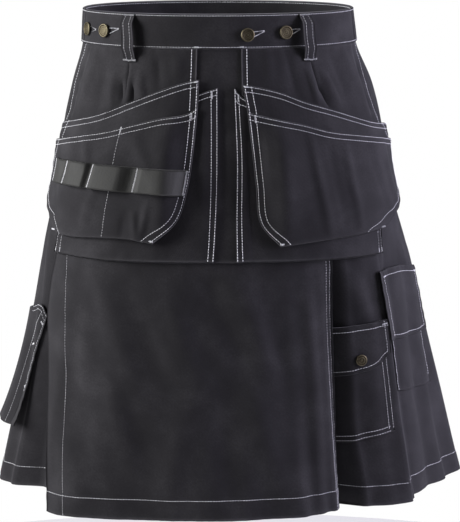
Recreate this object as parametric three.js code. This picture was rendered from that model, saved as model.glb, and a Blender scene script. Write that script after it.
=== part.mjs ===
// Utility kilt, worn shape with no wearer. Millimetres, +Z up, the front faces -Y.
// The origin is the centre of the waist ring, at half the height of the waistband.
// Angles are seen from above, from the centre front, and grow toward +X, the wearer's left.
// Offsets are measured outward from the body surface.
import * as THREE from 'three';

const kilt = new THREE.Group();

// Named sizes
const WAISTBAND = { top: 20, bottom: -20, inner: -1.4, outer: 1.6, sideSeam: 80 };
const SEAM = 0.3;              // gap where two edges meet
const LAYER = 0.5;             // gap between two layers that lie on each other
const PANEL = 1.8;             // wall of the skirt panels and the yoke
const POCKET = 1.4;            // wall of the pocket layers
const HEM = -577;
const YOKE_HEM = -270;
const BACK_SEAM = 118;         // angle of the seam between the side and back panels
const SEAM_DEG = 0.08;         // half of the gap at an upright seam
const BUTTON = { radius: 8.2, height: 3.4 };
const SNAP = { radius: 7.0, height: 2.6 };
const LOOP = { width: 13, standOff: 7.8, wall: 1.6, top: 19, bottom: -37 };

// Body sections: half widths to the wearer's right (-X) and left (+X), half depths, squareness
const BODY = [
  { z: 20, right: 163, left: 167, front: 115, back: 115, square: 2.1 },
  { z: -20, right: 165.5, left: 172, front: 118, back: 119, square: 2.1 },
  { z: -70, right: 179.5, left: 193, front: 128, back: 132, square: 2.2 },
  { z: -120, right: 191, left: 205.5, front: 136, back: 143, square: 2.3 },
  { z: -180, right: 197.5, left: 213, front: 144, back: 151, square: 2.4 },
  { z: -270, right: 217.5, left: 238, front: 156, back: 161, square: 2.5 },
  { z: -420, right: 243.5, left: 277, front: 175, back: 178, square: 2.65 },
  { z: -577, right: 279, left: 317.5, front: 197, back: 195, square: 2.8 },
];

// Folds of the side and back panels: offset under the yoke and at the hem
const FOLD_START = -150;
const FOLD_HIP = -240;
const PANEL_FOLDS = [
  { deg: -118, hip: 0, hem: 0 },
  { deg: -92, hip: 0, hem: 2 },
  { deg: -86, hip: 0, hem: 0 },
  { deg: -81, hip: -1, hem: -16 },
  { deg: -75, hip: -5, hem: -56 },
  { deg: -69, hip: -8, hem: -74 },
  { deg: -62, hip: -8, hem: -68 },
  { deg: -52, hip: -8, hem: -52 },
  { deg: 33, hip: -10, hem: -41 },
  { deg: 44.5, hip: -10, hem: -66 },
  { deg: 50, hip: -4, hem: -37 },
  { deg: 56, hip: -1, hem: -27 },
  { deg: 60, hip: 0, hem: -24 },
  { deg: 62.5, hip: -1, hem: -32 },
  { deg: 66, hip: -3, hem: -43 },
  { deg: 74, hip: -4, hem: -45 },
  { deg: 82, hip: -2, hem: -24 },
  { deg: 90, hip: 0, hem: 0 },
  { deg: 102, hip: 0, hem: 4 },
  { deg: 118, hip: 0, hem: 0 },
];
const BACK_PLEAT = { count: 6, first: 130, pitch: 20, half: 4.5, hip: -5, hem: -26 };
for (let i = 0; i < BACK_PLEAT.count; i += 1) {
  const middle = BACK_PLEAT.first + i * BACK_PLEAT.pitch;
  PANEL_FOLDS.push({ deg: middle - BACK_PLEAT.half, hip: 0, hem: 0 });
  PANEL_FOLDS.push({ deg: middle, hip: BACK_PLEAT.hip, hem: BACK_PLEAT.hem });
  PANEL_FOLDS.push({ deg: middle + BACK_PLEAT.half, hip: 0, hem: 0 });
}
PANEL_FOLDS.push({ deg: 242, hip: 0, hem: 0 });

// Folds of the front apron: offset at the hem only
const APRON_FOLDS = [
  { deg: -70, hip: 0, hem: -12 },
  { deg: -56, hip: 0, hem: -4 },
  { deg: -50, hip: 0, hem: 2 },
  { deg: -40, hip: 0, hem: -1 },
  { deg: -28, hip: 0, hem: -5 },
  { deg: -15, hip: 0, hem: 0 },
  { deg: 2, hip: 0, hem: 2 },
  { deg: 26, hip: 0, hem: -5 },
  { deg: 33, hip: 0, hem: -14 },
  { deg: 39, hip: 0, hem: -27 },
  { deg: 44, hip: 0, hem: -42 },
  { deg: 50, hip: 0, hem: -55 },
];

// Outlines as angle and height along each edge
const APRON_EDGES = [
  { z: -246, from: -68.2, to: 44.8 },
  { z: -300, from: -69.4, to: 44.5 },
  { z: -340, from: -69, to: 44.3 },
  { z: -396, from: -65.2, to: 44 },
  { z: -484, from: -58.8, to: 43.6 },
  { z: HEM, from: -54.5, to: 42.6 },
];
const YOKE_EDGES = [
  { z: WAISTBAND.bottom - SEAM, from: -76.9, to: 78.2 },
  { z: -63, from: -77, to: 73.4 },
  { z: -118, from: -77.2, to: 75 },
  { z: -180, from: -73.5, to: 73 },
  { z: -238, from: -69, to: 64 },
  { z: YOKE_HEM, from: -68.4, to: 62 },
];
const HOLSTER_RIGHT = {
  top: [[-11.6, -56.5], [-19.5, -60.5], [-31.2, -70.5], [-44.5, -85.5], [-57.8, -102], [-76.8, -115.5]],
  inner: [[-11.6, -56.5], [-12.2, -102], [-14.2, -160], [-15.6, -185], [-19.6, -221], [-28.8, -248]],
  outer: [[-76.8, -115.5], [-80.2, -143], [-86.5, -174], [-87, -200], [-81, -221], [-75, -229], [-70, -246]],
  bottom: [[-28.8, -248], [-39.2, -244], [-47, -244.5], [-62.2, -248], [-70, -246]],
};
const HOLSTER_RIGHT_FRONT = {
  top: [[-12, -88.5], [-16.5, -95.5], [-30, -102.5], [-40.5, -110.5], [-50.5, -119.5], [-60.5, -126.5], [-80, -138.5]],
  inner: [[-12, -88.5], [-14.2, -160], [-15.6, -185], [-19.6, -221], [-28.8, -247.4]],
  outer: [[-80, -138.5], [-86, -174], [-86.6, -200], [-80.6, -220], [-74.6, -228.4], [-69.6, -245.4]],
  bottom: HOLSTER_RIGHT.bottom.map(([deg, z]) => [Math.max(deg, -69.6), z + 0.6]),
};
const HOLSTER_LEFT = {
  top: [[11.6, -63], [16.5, -64.5], [29.8, -72.5], [40.8, -84.5], [50.8, -94.5], [61.2, -106.5], [66.8, -113], [80.5, -121.5]],
  inner: [[11.6, -63], [14, -103], [16, -181], [17.4, -225], [24.8, -252]],
  outer: [[80.5, -121.5], [84.5, -148], [86, -172], [85, -196], [79.6, -216], [70.6, -229], [63.8, -241]],
  bottom: [[24.8, -252], [42, -246.5], [54, -244], [63.8, -241]],
};
const HOLSTER_LEFT_FRONT = {
  top: [[13.4, -94.5], [28.2, -104.5], [39, -111.5], [48.5, -120.5], [58.5, -126.5], [84, -142]],
  inner: [[13.4, -94.5], [16, -181], [17.4, -225], [24.8, -251.4]],
  outer: [[84, -142], [85.6, -172], [84.6, -196], [79.2, -215.5], [70.2, -228.5], [63.4, -240.4]],
  bottom: HOLSTER_LEFT.bottom.map(([deg, z]) => [Math.min(deg, 63.4), z + 0.6]),
};
const FRONT_TOP_RIGHT = {
  top: [[-13.2, -20.3], [-40, -20.3], [-75.9, -20.3]],
  inner: [[-13.2, -20.3], [-13.2, -72.5]],
  outer: [[-75.9, -20.3], [-76.5, -42], [-75.9, -64], [-74.8, -101], [-76, -115], [-75.6, -132.5]],
  bottom: [[-13.2, -72.5], [-30, -90.5], [-45, -106.5], [-58, -119.5], [-75.6, -132.5]],
};
const FRONT_TOP_LEFT = {
  top: [[11.9, -20.3], [40, -20.3], [77.4, -20.3]],
  inner: [[11.9, -20.3], [11.2, -74.5]],
  outer: [[77.4, -20.3], [74.8, -44], [72.2, -68], [72.5, -93], [74.2, -118], [73.9, -134.5]],
  bottom: [[11.2, -74.5], [30, -90], [45, -106], [60, -123], [73.9, -134.5]],
};
const BASE_POCKET_RIGHT = {
  top: [[-2, -66], [-11.6, -73], [-30, -93], [-45, -109], [-58, -122], [-74.8, -135]],
  inner: [[-2, -66], [-2.2, -181], [-3, -241], [-3.6, -269]],
  outer: [[-74.8, -135], [-72.8, -180], [-68, -238], [-67.2, -269]],
  bottom: [[-3.6, -269], [-30, -269], [-67.2, -269]],
};
const BASE_POCKET_LEFT = {
  top: [[7.2, -66], [11.2, -77], [30, -93], [45, -109], [60, -126], [74, -138]],
  inner: [[7.2, -66], [7.6, -151], [6.6, -220], [6.4, -269]],
  outer: [[74, -138], [72.2, -180], [63.4, -238], [61.4, -269]],
  bottom: [[6.4, -269], [40, -269], [61.4, -269]],
};
const CARGO_POCKET = {
  top: [[42.2, -362], [52, -360], [58.4, -357]],
  inner: [[42.2, -362], [42, -430], [41.6, -503]],
  outer: [[58.4, -357], [58.6, -425], [58.4, -487]],
  bottom: [[41.6, -503], [50, -496], [58.4, -487]],
};
const CARGO_FLAP = {
  top: [[43.4, -359], [50, -354.5], [59.6, -350]],
  inner: [[43.4, -359], [43.2, -420]],
  outer: [[59.6, -350], [59.4, -390]],
  bottom: [[43.2, -420], [49, -413.5], [54, -408], [59.4, -390]],
};
const PHONE_POCKET = {
  top: [[62.8, -312], [73, -314], [84, -319]],
  inner: [[62.8, -312], [62.6, -380], [62, -441]],
  outer: [[84, -319], [84.4, -390], [83.8, -453]],
  bottom: [[62, -441], [73, -449], [83.8, -453]],
};
const PHONE_FLAP = {
  top: [[59.8, -292], [72, -293], [85.2, -303]],
  inner: [[59.8, -292], [60, -376]],
  outer: [[85.2, -303], [86, -385]],
  bottom: [[60, -376], [73, -382], [86, -385]],
};
const RULER_POCKET = {
  top: [[-78, -357], [-79.8, -345], [-86, -353], [-94, -369]],
  inner: [[-78, -357], [-80, -411], [-80.5, -502]],
  outer: [[-94, -369], [-95, -430], [-95.5, -494]],
  bottom: [[-80.5, -502], [-88, -500], [-95.5, -494]],
};
const WEBBING = { top: -157, bottom: -187, wall: 1.8, rise: 2.6, tacks: [-75, -65.5, -53.8, -36.8, -16.2] };
const WAIST_BUTTONS = [
  { name: 'button_right_outer', deg: -75, z: -2.2 },
  { name: 'button_right_inner', deg: -62.9, z: -2 },
  { name: 'button_left_inner', deg: 15.5, z: -4 },
  { name: 'button_left_outer', deg: 36.2, z: -2 },
];
const BELT_LOOPS = [
  { name: 'belt_loop_front_right', deg: -48.4 },
  { name: 'belt_loop_front_left', deg: 46.6 },
  { name: 'belt_loop_side_left', deg: 112 },
  { name: 'belt_loop_centre_back', deg: 180 },
  { name: 'belt_loop_side_right', deg: 248 },
];

// Interpolation in the tables
const ease = (t) => (1 - Math.cos(Math.PI * Math.min(1, Math.max(0, t)))) / 2;

function between(rows, key, value, column, shape = (t) => t) {
  const list = rows[0][key] > rows[rows.length - 1][key] ? rows.slice().reverse() : rows;
  if (value <= list[0][key]) return list[0][column];
  for (let i = 1; i < list.length; i += 1) {
    if (value <= list[i][key]) {
      const t = (value - list[i - 1][key]) / (list[i][key] - list[i - 1][key]);
      return THREE.MathUtils.lerp(list[i - 1][column], list[i][column], shape(t));
    }
  }
  return list[list.length - 1][column];
}

// A smooth curve through the body sections, straight in the waistband
function bodySize(z, column) {
  if (z >= WAISTBAND.bottom) return between(BODY.slice(0, 2), 'z', z, column);
  const last = BODY.length - 1;
  const high = Math.max(BODY[last].z, z);
  let i = 1;
  while (i < last - 1 && high < BODY[i + 1].z) i += 1;
  const rise = (k) => (BODY[k + 1][column] - BODY[k][column]) / (BODY[k + 1].z - BODY[k].z);
  const slope = (k) => {
    return k >= last ? rise(last - 1) : (rise(k - 1) + rise(k)) / 2;
  };
  const span = BODY[i + 1].z - BODY[i].z;
  const t = (high - BODY[i].z) / span;
  return (1 + 2 * t) * (1 - t) ** 2 * BODY[i][column] + t * (1 - t) ** 2 * span * slope(i)
    + t * t * (3 - 2 * t) * BODY[i + 1][column] + t * t * (t - 1) * span * slope(i + 1);
}

// Radius of the body and of the folded layers
function bodyRadius(deg, z) {
  const turn = THREE.MathUtils.degToRad(deg);
  const across = Math.sin(turn);
  const ahead = Math.cos(turn);
  const halfWidth = bodySize(z, across > 0 ? 'left' : 'right');
  const halfDepth = bodySize(z, ahead > 0 ? 'front' : 'back');
  const square = bodySize(z, 'square');
  const sum = (Math.abs(across) / halfWidth) ** square + (Math.abs(ahead) / halfDepth) ** square;
  return 1 / sum ** (1 / square);
}

function foldOffset(rows, deg, z) {
  const hip = between(rows, 'deg', deg, 'hip', ease);
  const hem = between(rows, 'deg', deg, 'hem', ease);
  if (z > FOLD_HIP) return hip * ease((FOLD_START - z) / (FOLD_START - FOLD_HIP));
  return THREE.MathUtils.lerp(hip, hem, ((FOLD_HIP - z) / (FOLD_HIP - HEM)) ** 0.85);
}

function panelRadius(deg, z) {
  const turn = deg < -118.001 ? deg + 360 : deg;
  return bodyRadius(deg, z) + foldOffset(PANEL_FOLDS, turn, z);
}

function apronRadius(deg, z) {
  return bodyRadius(deg, z) + foldOffset(APRON_FOLDS, deg, z);
}

// A point beside a surface, moved out along its normal
function place(radius, deg, z, offset) {
  const at = (d, h) => {
    const turn = THREE.MathUtils.degToRad(d);
    const r = radius(d, h);
    return new THREE.Vector3(r * Math.sin(turn), -r * Math.cos(turn), h);
  };
  const along = at(deg + 0.6, z).sub(at(deg - 0.6, z));
  const up = at(deg, z + 3).sub(at(deg, z - 3));
  const normal = along.cross(up).normalize();
  return at(deg, z).addScaledVector(normal, offset);
}

// A cloth wall between two sheets of points, closed round its edge
function addCloth(name, columns, rows, point) {
  const positions = [];
  const index = [];
  const width = rows + 1;
  const sheetSize = (columns + 1) * width;
  for (const side of [0, 1]) {
    for (let i = 0; i <= columns; i += 1) {
      for (let j = 0; j <= rows; j += 1) {
        positions.push(...point(i / columns, j / rows, side).toArray());
      }
    }
  }
  const quad = (a, b, c, d) => index.push(a, b, c, a, c, d);
  const id = (side, i, j) => side * sheetSize + i * width + j;
  for (let i = 0; i < columns; i += 1) {
    for (let j = 0; j < rows; j += 1) {
      quad(id(1, i, j), id(1, i, j + 1), id(1, i + 1, j + 1), id(1, i + 1, j));
      quad(id(0, i, j), id(0, i + 1, j), id(0, i + 1, j + 1), id(0, i, j + 1));
    }
  }
  for (let i = 0; i < columns; i += 1) {
    quad(id(0, i, 0), id(1, i, 0), id(1, i + 1, 0), id(0, i + 1, 0));
    quad(id(1, i, rows), id(0, i, rows), id(0, i + 1, rows), id(1, i + 1, rows));
  }
  for (let j = 0; j < rows; j += 1) {
    quad(id(1, 0, j), id(0, 0, j), id(0, 0, j + 1), id(1, 0, j + 1));
    quad(id(0, columns, j), id(1, columns, j), id(1, columns, j + 1), id(0, columns, j + 1));
  }
  const geometry = new THREE.BufferGeometry();
  geometry.setAttribute('position', new THREE.Float32BufferAttribute(positions, 3));
  geometry.setIndex(index);
  if (signedVolume(geometry) < 0) {
    for (let k = 0; k < index.length; k += 3) [index[k + 1], index[k + 2]] = [index[k + 2], index[k + 1]];
    geometry.setIndex(index);
  }
  addMesh(name, geometry);
}

function signedVolume(geometry) {
  const p = geometry.getAttribute('position');
  const corner = [new THREE.Vector3(), new THREE.Vector3(), new THREE.Vector3()];
  let sum = 0;
  for (let k = 0; k < geometry.index.count; k += 3) {
    corner.forEach((v, n) => v.fromBufferAttribute(p, geometry.index.getX(k + n)));
    sum += corner[0].dot(corner[1].clone().cross(corner[2]));
  }
  return sum / 6;
}

function addMesh(name, geometry) {
  const mesh = new THREE.Mesh(geometry);
  mesh.name = name;
  kilt.add(mesh);
}

// Edge curves, by length in millimetres, and the patch between four of them
const MM_PER_DEG = 2.6;

function edge(points) {
  const length = [0];
  for (let i = 1; i < points.length; i += 1) {
    const across = (points[i][0] - points[i - 1][0]) * MM_PER_DEG;
    length.push(length[i - 1] + Math.hypot(across, points[i][1] - points[i - 1][1]));
  }
  const total = length[length.length - 1];
  const rows = points.map(([deg, z], i) => ({ t: length[i] / total, deg, z }));
  return (t) => [between(rows, 't', t, 'deg'), between(rows, 't', t, 'z')];
}

function patch(outline) {
  const top = edge(outline.top);
  const bottom = edge(outline.bottom);
  const inner = edge(outline.inner);
  const outer = edge(outline.outer);
  return (u, v) => [0, 1].map((k) => {
    const ruled = (1 - v) * top(u)[k] + v * bottom(u)[k] + (1 - u) * inner(v)[k] + u * outer(v)[k];
    const corners = (1 - u) * (1 - v) * top(0)[k] + u * (1 - v) * top(1)[k]
      + (1 - u) * v * bottom(0)[k] + u * v * bottom(1)[k];
    return ruled - corners;
  });
}

function addPatch(name, columns, rows, outline, radius, wall, offset) {
  const at = patch(outline);
  addCloth(name, columns, rows, (u, v, side) => {
    const [deg, z] = at(u, v);
    return place(radius, deg, z, offset(u, v) + side * wall);
  });
}

// A panel between two angles that change with height
function addPanel(name, columns, heights, edges, radius, wall, offset) {
  addCloth(name, columns, heights.length - 1, (u, v, side) => {
    const z = heights[Math.round(v * (heights.length - 1))];
    const deg = THREE.MathUtils.lerp(between(edges, 'z', z, 'from'), between(edges, 'z', z, 'to'), u);
    return place(radius, deg, z, offset + side * wall);
  });
}

// A folded panel with a column at each angle of a list
function addFolded(name, angles, heights) {
  addCloth(name, angles.length - 1, heights.length - 1, (u, v, side) => {
    const deg = angles[Math.round(u * (angles.length - 1))];
    const z = heights[Math.round(v * (heights.length - 1))];
    return place(panelRadius, deg, z, panelOffset + side * PANEL);
  });
}

// Waistband
const band = WAISTBAND.outer - WAISTBAND.inner;
const bandHeights = [WAISTBAND.top, WAISTBAND.bottom];
addPanel('waistband_front', 32, bandHeights,
  [{ z: 0, from: SEAM_DEG - WAISTBAND.sideSeam, to: WAISTBAND.sideSeam - SEAM_DEG }],
  bodyRadius, band, WAISTBAND.inner);
addPanel('waistband_back', 36, bandHeights,
  [{ z: 0, from: WAISTBAND.sideSeam + SEAM_DEG, to: 360 - WAISTBAND.sideSeam - SEAM_DEG }],
  bodyRadius, band, WAISTBAND.inner);

// Skirt panels
const panelOffset = -LAYER - PANEL;
const panelHeights = [-20.3, -42, -66, -92, -120, -150, -180, -210, -240, -300, -360, -430, -500, HEM];
addFolded('side_panel_right',
  [-52, -58, -63, -67, -70, -72.5, -74.5, -76.5, -78.5, -81, -84, -88, -93, -99, -105, -111, SEAM_DEG - BACK_SEAM],
  panelHeights);
addFolded('side_panel_left',
  [33, 38, 41, 43, 45, 47, 49, 51.5, 54, 57, 60, 61.5, 63, 65, 67.5, 71, 74, 77, 80, 83, 86, 90, 95, 101, 107,
    113, BACK_SEAM - SEAM_DEG], panelHeights);
const backAngles = [BACK_SEAM + SEAM_DEG, 121.5];
for (let i = 0; i < BACK_PLEAT.count; i += 1) {
  const middle = BACK_PLEAT.first + i * BACK_PLEAT.pitch;
  backAngles.push(middle - 4.5, middle - 2.3, middle, middle + 2.3, middle + 4.5);
  if (i < BACK_PLEAT.count - 1) backAngles.push(middle + BACK_PLEAT.pitch / 2);
}
backAngles.push(238.5, 360 - BACK_SEAM - SEAM_DEG);
addFolded('back_panel', backAngles, [-20.3, -42, -70, -110, -155, -200, -240, -310, -400, -490, HEM]);
addPanel('skirt_front', 28, [-246, -268, -300, -340, -396, -440, -484, -530, HEM],
  APRON_EDGES, apronRadius, PANEL, panelOffset);
addPanel('front_yoke', 34, [-20.3, -42, -66, -92, -120, -150, -180, -210, -240, YOKE_HEM],
  YOKE_EDGES, bodyRadius, PANEL, 0);

// Layers on the yoke
const topLayer = PANEL + LAYER;
const holsterLayer = topLayer + POCKET + LAYER;
const frontLayer = holsterLayer + POCKET + LAYER;
const webbingLayer = frontLayer + POCKET + LAYER;
addPatch('front_top_right', 18, 5, FRONT_TOP_RIGHT, bodyRadius, POCKET, () => topLayer);
addPatch('front_top_left', 20, 5, FRONT_TOP_LEFT, bodyRadius, POCKET, () => topLayer + 0.1);
addPatch('base_pocket_right', 24, 10, BASE_POCKET_RIGHT, bodyRadius, POCKET, () => topLayer);
addPatch('base_pocket_left', 24, 10, BASE_POCKET_LEFT, bodyRadius, POCKET, () => topLayer);

// Holsters: two layers each, a little full in the middle. The fullness is read at a place
// on the body, so that both layers and the webbing rise together.
const BULGE = 3.0;
function fullness(deg, z) {
  const side = Math.abs(deg);
  const across = ease((side - 16) / 14) * (1 - 0.85 * ease((side - 64) / 16));
  const down = ease((-96 - z) / 50) * (1 - 0.75 * ease((-205 - z) / 45));
  return BULGE * across * down;
}

function addHolster(name, columns, rows, outline, layer, share) {
  const at = patch(outline);
  addCloth(name, columns, rows, (u, v, side) => {
    const [deg, z] = at(u, v);
    return place(bodyRadius, deg, z, layer + share * fullness(deg, z) + side * POCKET);
  });
}
addHolster('holster_back_right', 20, 7, HOLSTER_RIGHT, holsterLayer, 1);
addHolster('holster_back_left', 20, 7, HOLSTER_LEFT, holsterLayer, 1);
addHolster('holster_front_right', 20, 6, HOLSTER_RIGHT_FRONT, frontLayer, 1.8);
addHolster('holster_front_left', 20, 6, HOLSTER_LEFT_FRONT, frontLayer, 1.8);

// Webbing over the right holster, raised between its tacks
const spans = WEBBING.tacks.length - 1;
const perSpan = 6;
addCloth('webbing_right', spans * perSpan, 2, (u, v, side) => {
  const place01 = u * spans;
  const span = Math.min(spans - 1, Math.floor(place01 + 1e-9));
  const t = place01 - span;
  const deg = THREE.MathUtils.lerp(WEBBING.tacks[span], WEBBING.tacks[span + 1], t);
  const z = THREE.MathUtils.lerp(WEBBING.top, WEBBING.bottom, v) + (deg + 60) * (deg > -60 ? -0.1 : 0.14);
  const rise = WEBBING.rise * Math.sin(Math.PI * t) ** 0.8;
  return place(bodyRadius, deg, z, webbingLayer + 0.2 + 1.8 * fullness(deg, z) + rise + side * WEBBING.wall);
});

// Pockets of the skirt
const onSkirt = panelOffset + PANEL + LAYER + 0.6;
const swell = (u, v) => Math.sin(Math.PI * u) * Math.sin(Math.PI * (0.1 + 0.85 * v));
addPatch('cargo_pocket', 8, 6, CARGO_POCKET, panelRadius, POCKET, (u, v) => onSkirt + 1.5 * swell(u, v));
const overPocket = (u) => onSkirt + POCKET + LAYER + 0.4 + 1.5 * Math.sin(Math.PI * Math.min(0.5, u * 1.1));
addPatch('cargo_flap', 8, 4, CARGO_FLAP, panelRadius, POCKET, overPocket);
addPatch('phone_pocket', 15, 6, PHONE_POCKET, panelRadius, POCKET, (u, v) => onSkirt + 1.5 * swell(u, v));
addPatch('phone_flap', 15, 4, PHONE_FLAP, panelRadius, POCKET, overPocket);
addPatch('ruler_pocket', 6, 8, RULER_POCKET, panelRadius, PANEL, (u, v) => onSkirt + 0.5 + 12 * v ** 2.4);

// Belt loops, tacked at both ends and standing off between
for (const loop of BELT_LOOPS) {
  addCloth(loop.name, 1, 8, (u, v, side) => {
    const z = THREE.MathUtils.lerp(LOOP.top, LOOP.bottom, v);
    const half = THREE.MathUtils.radToDeg(LOOP.width / 2 / bodyRadius(loop.deg, z));
    const under = loop.deg > 80 ? 0 : topLayer + POCKET - WAISTBAND.outer;
    const lift = LOOP.standOff * ease(v / 0.22) * ease((1 - v) / 0.3);
    const seat = WAISTBAND.outer + LAYER + under * ease((v - 0.5) / 0.25);
    return place(bodyRadius, loop.deg + (2 * u - 1) * half, z, seat + lift + side * LOOP.wall);
  });
}

// Buttons and the snap, turned about their own axis and set on the cloth
function addRound(name, profile, sides, radius, deg, z, offset) {
  const geometry = new THREE.LatheGeometry(profile.map(([r, h]) => new THREE.Vector2(r, h)), sides);
  const foot = place(radius, deg, z, offset);
  const axis = place(radius, deg, z, offset + 10).sub(foot).normalize();
  const turn = new THREE.Quaternion().setFromUnitVectors(new THREE.Vector3(0, 1, 0), axis);
  geometry.applyQuaternion(turn);
  geometry.translate(foot.x, foot.y, foot.z);
  addMesh(name, geometry);
}
const buttonProfile = [[0, 0], [0.55, 0], [0.62, 0.34], [1, 0.42], [1, 0.78], [0.8, 1], [0.55, 0.78], [0, 0.86]]
  .map(([r, h]) => [r * BUTTON.radius, h * BUTTON.height]);
for (const button of WAIST_BUTTONS) {
  addRound(button.name, buttonProfile, 16, bodyRadius, button.deg, button.z, WAISTBAND.outer + SEAM);
}
const snapProfile = [[0, 0], [0.7, 0], [1, 0.4], [0.85, 0.9], [0.5, 1], [0, 0.8]]
  .map(([r, h]) => [r * SNAP.radius, h * SNAP.height]);
addRound('cargo_snap', snapProfile, 16, panelRadius, 51.8, -396, onSkirt + 2 * POCKET + LAYER + 1.8 + 0.7);

kilt.updateMatrixWorld(true);
export default kilt;
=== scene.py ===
"""Utility kilt in its worn shape: canvas panels, hanging tool pockets and pleats.

Every cloth piece is a thin shell on the form of its CAD solid. A place on the garment
is an angle seen from above, in degrees from the centre front and growing to the wearer's
left, with a height in millimetres from the middle of the waistband.
"""

from __future__ import annotations

import logging
from collections.abc import Callable
from dataclasses import dataclass, field
from enum import Enum
from functools import cached_property
from typing import ClassVar

import bpy
import numpy as np
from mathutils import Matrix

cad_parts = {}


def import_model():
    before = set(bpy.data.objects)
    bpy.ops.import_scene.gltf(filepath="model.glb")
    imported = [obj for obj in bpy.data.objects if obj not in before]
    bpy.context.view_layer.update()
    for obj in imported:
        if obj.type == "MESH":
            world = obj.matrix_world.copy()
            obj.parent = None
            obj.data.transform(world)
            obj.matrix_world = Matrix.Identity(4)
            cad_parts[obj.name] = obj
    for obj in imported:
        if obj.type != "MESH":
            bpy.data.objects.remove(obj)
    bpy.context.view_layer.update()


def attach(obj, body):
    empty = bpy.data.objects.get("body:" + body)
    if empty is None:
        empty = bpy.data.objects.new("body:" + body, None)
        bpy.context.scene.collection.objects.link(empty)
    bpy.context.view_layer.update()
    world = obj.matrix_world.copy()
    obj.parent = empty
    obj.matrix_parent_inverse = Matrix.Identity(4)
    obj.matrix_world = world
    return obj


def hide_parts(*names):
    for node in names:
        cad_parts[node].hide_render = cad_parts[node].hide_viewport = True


LOG = logging.getLogger("kilt")
MM = 0.001
HEM = -577.0
YOKE_HEM = -270.0
BAND_TOP = 20.0
BAND_BOTTOM = -20.0
BELOW_BAND = BAND_BOTTOM - 0.3
HEM_TURN = 24.0
BACK_SEAM = 118.0
LAYER = 0.5
PANEL_WALL = 1.8
POCKET_WALL = 1.4
ON_YOKE = PANEL_WALL + LAYER
HOLSTER_BACK = ON_YOKE + POCKET_WALL + LAYER
HOLSTER_FRONT = HOLSTER_BACK + POCKET_WALL + LAYER
ON_HOLSTER = HOLSTER_FRONT + POCKET_WALL + LAYER + 0.2
ON_SKIRT = 0.6
ON_SKIRT_POCKET = ON_SKIRT + POCKET_WALL + LAYER + 0.4
UNDER_YOKE = -LAYER - PANEL_WALL


class Surface(Enum):
    """The form that a piece lies on."""

    BODY = "body"
    SMOOTH = "body without its creases"
    PANEL = "panel"
    APRON = "apron"


class Edge(Enum):
    """One edge of a cloth piece; inner is the edge nearer the centre front."""

    TOP = "top"
    BOTTOM = "bottom"
    INNER = "inner"
    OUTER = "outer"


def ease(t: np.ndarray | float) -> np.ndarray:
    """Half a cosine from 0 to 1.

    Args:
        t: The place along the step, clipped to 0..1.

    Returns:
        The eased value.
    """
    return (1.0 - np.cos(np.pi * np.clip(t, 0.0, 1.0))) / 2.0


def eased_table(x: np.ndarray, keys: np.ndarray, values: np.ndarray) -> np.ndarray:
    """Interpolates a table with a half cosine between its rows.

    Args:
        x: Places to read.
        keys: Rising keys of the rows.
        values: Their values.

    Returns:
        One value for each place.
    """
    row = np.clip(np.searchsorted(keys, x, side="right") - 1, 0, len(keys) - 2)
    t = ease((x - keys[row]) / (keys[row + 1] - keys[row]))
    return values[row] + (values[row + 1] - values[row]) * t


def smooth_table(x: np.ndarray, keys: np.ndarray, values: np.ndarray) -> np.ndarray:
    """Interpolates a table with a cubic whose slope at a row is the mean of its neighbours'.

    Args:
        x: Places to read.
        keys: Rising keys of the rows.
        values: Their values.

    Returns:
        One value for each place.
    """
    rise = np.diff(values) / np.diff(keys)
    slope = np.concatenate([rise[:1], (rise[:-1] + rise[1:]) / 2.0, rise[-1:]])
    row = np.clip(np.searchsorted(keys, x, side="right") - 1, 0, len(keys) - 2)
    span = keys[row + 1] - keys[row]
    t = (x - keys[row]) / span
    return ((1 + 2 * t) * (1 - t) ** 2 * values[row] + t * (1 - t) ** 2 * span * slope[row]
            + t * t * (3 - 2 * t) * values[row + 1] + t * t * (t - 1) * span * slope[row + 1])


def hex_linear(code: str) -> tuple[float, float, float, float]:
    """Turns an sRGB hex colour to linear RGBA.

    Args:
        code: Six hex digits, such as "2c2b2d".

    Returns:
        Linear red, green, blue and an alpha of 1.
    """
    channels = [int(code[i:i + 2], 16) / 255.0 for i in (0, 2, 4)]
    linear = [c / 12.92 if c <= 0.04045 else ((c + 0.055) / 1.055) ** 2.4 for c in channels]
    return (linear[0], linear[1], linear[2], 1.0)


@dataclass(frozen=True)
class Crease:
    """A soft trough (negative depth) or ridge between two places, in degrees and mm."""

    deg_a: float
    z_a: float
    deg_b: float
    z_b: float
    depth: float
    width: float

    def offset(self, deg: np.ndarray, z: np.ndarray) -> np.ndarray:
        """Depth times a bell across the segment, fading past its ends.

        Args:
            deg: Angles of the points.
            z: Heights of the points.

        Returns:
            How far each point moves out, in mm.
        """
        mm_per_degree = 2.9
        ax, bx, px = self.deg_a * mm_per_degree, self.deg_b * mm_per_degree, deg * mm_per_degree
        dx, dz = bx - ax, self.z_b - self.z_a
        length = float(np.hypot(dx, dz))
        t = ((px - ax) * dx + (z - self.z_a) * dz) / length**2
        away = np.abs((px - ax) * dz - (z - self.z_a) * dx) / length
        past = np.maximum(0.0, np.maximum(-t, t - 1.0)) * length
        inside = 0.35 + 0.65 * np.sin(np.pi * np.clip(t, 0.0, 1.0)) ** 0.7
        return self.depth * inside * np.exp(-(away**2 + past**2) / self.width**2)


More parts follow.
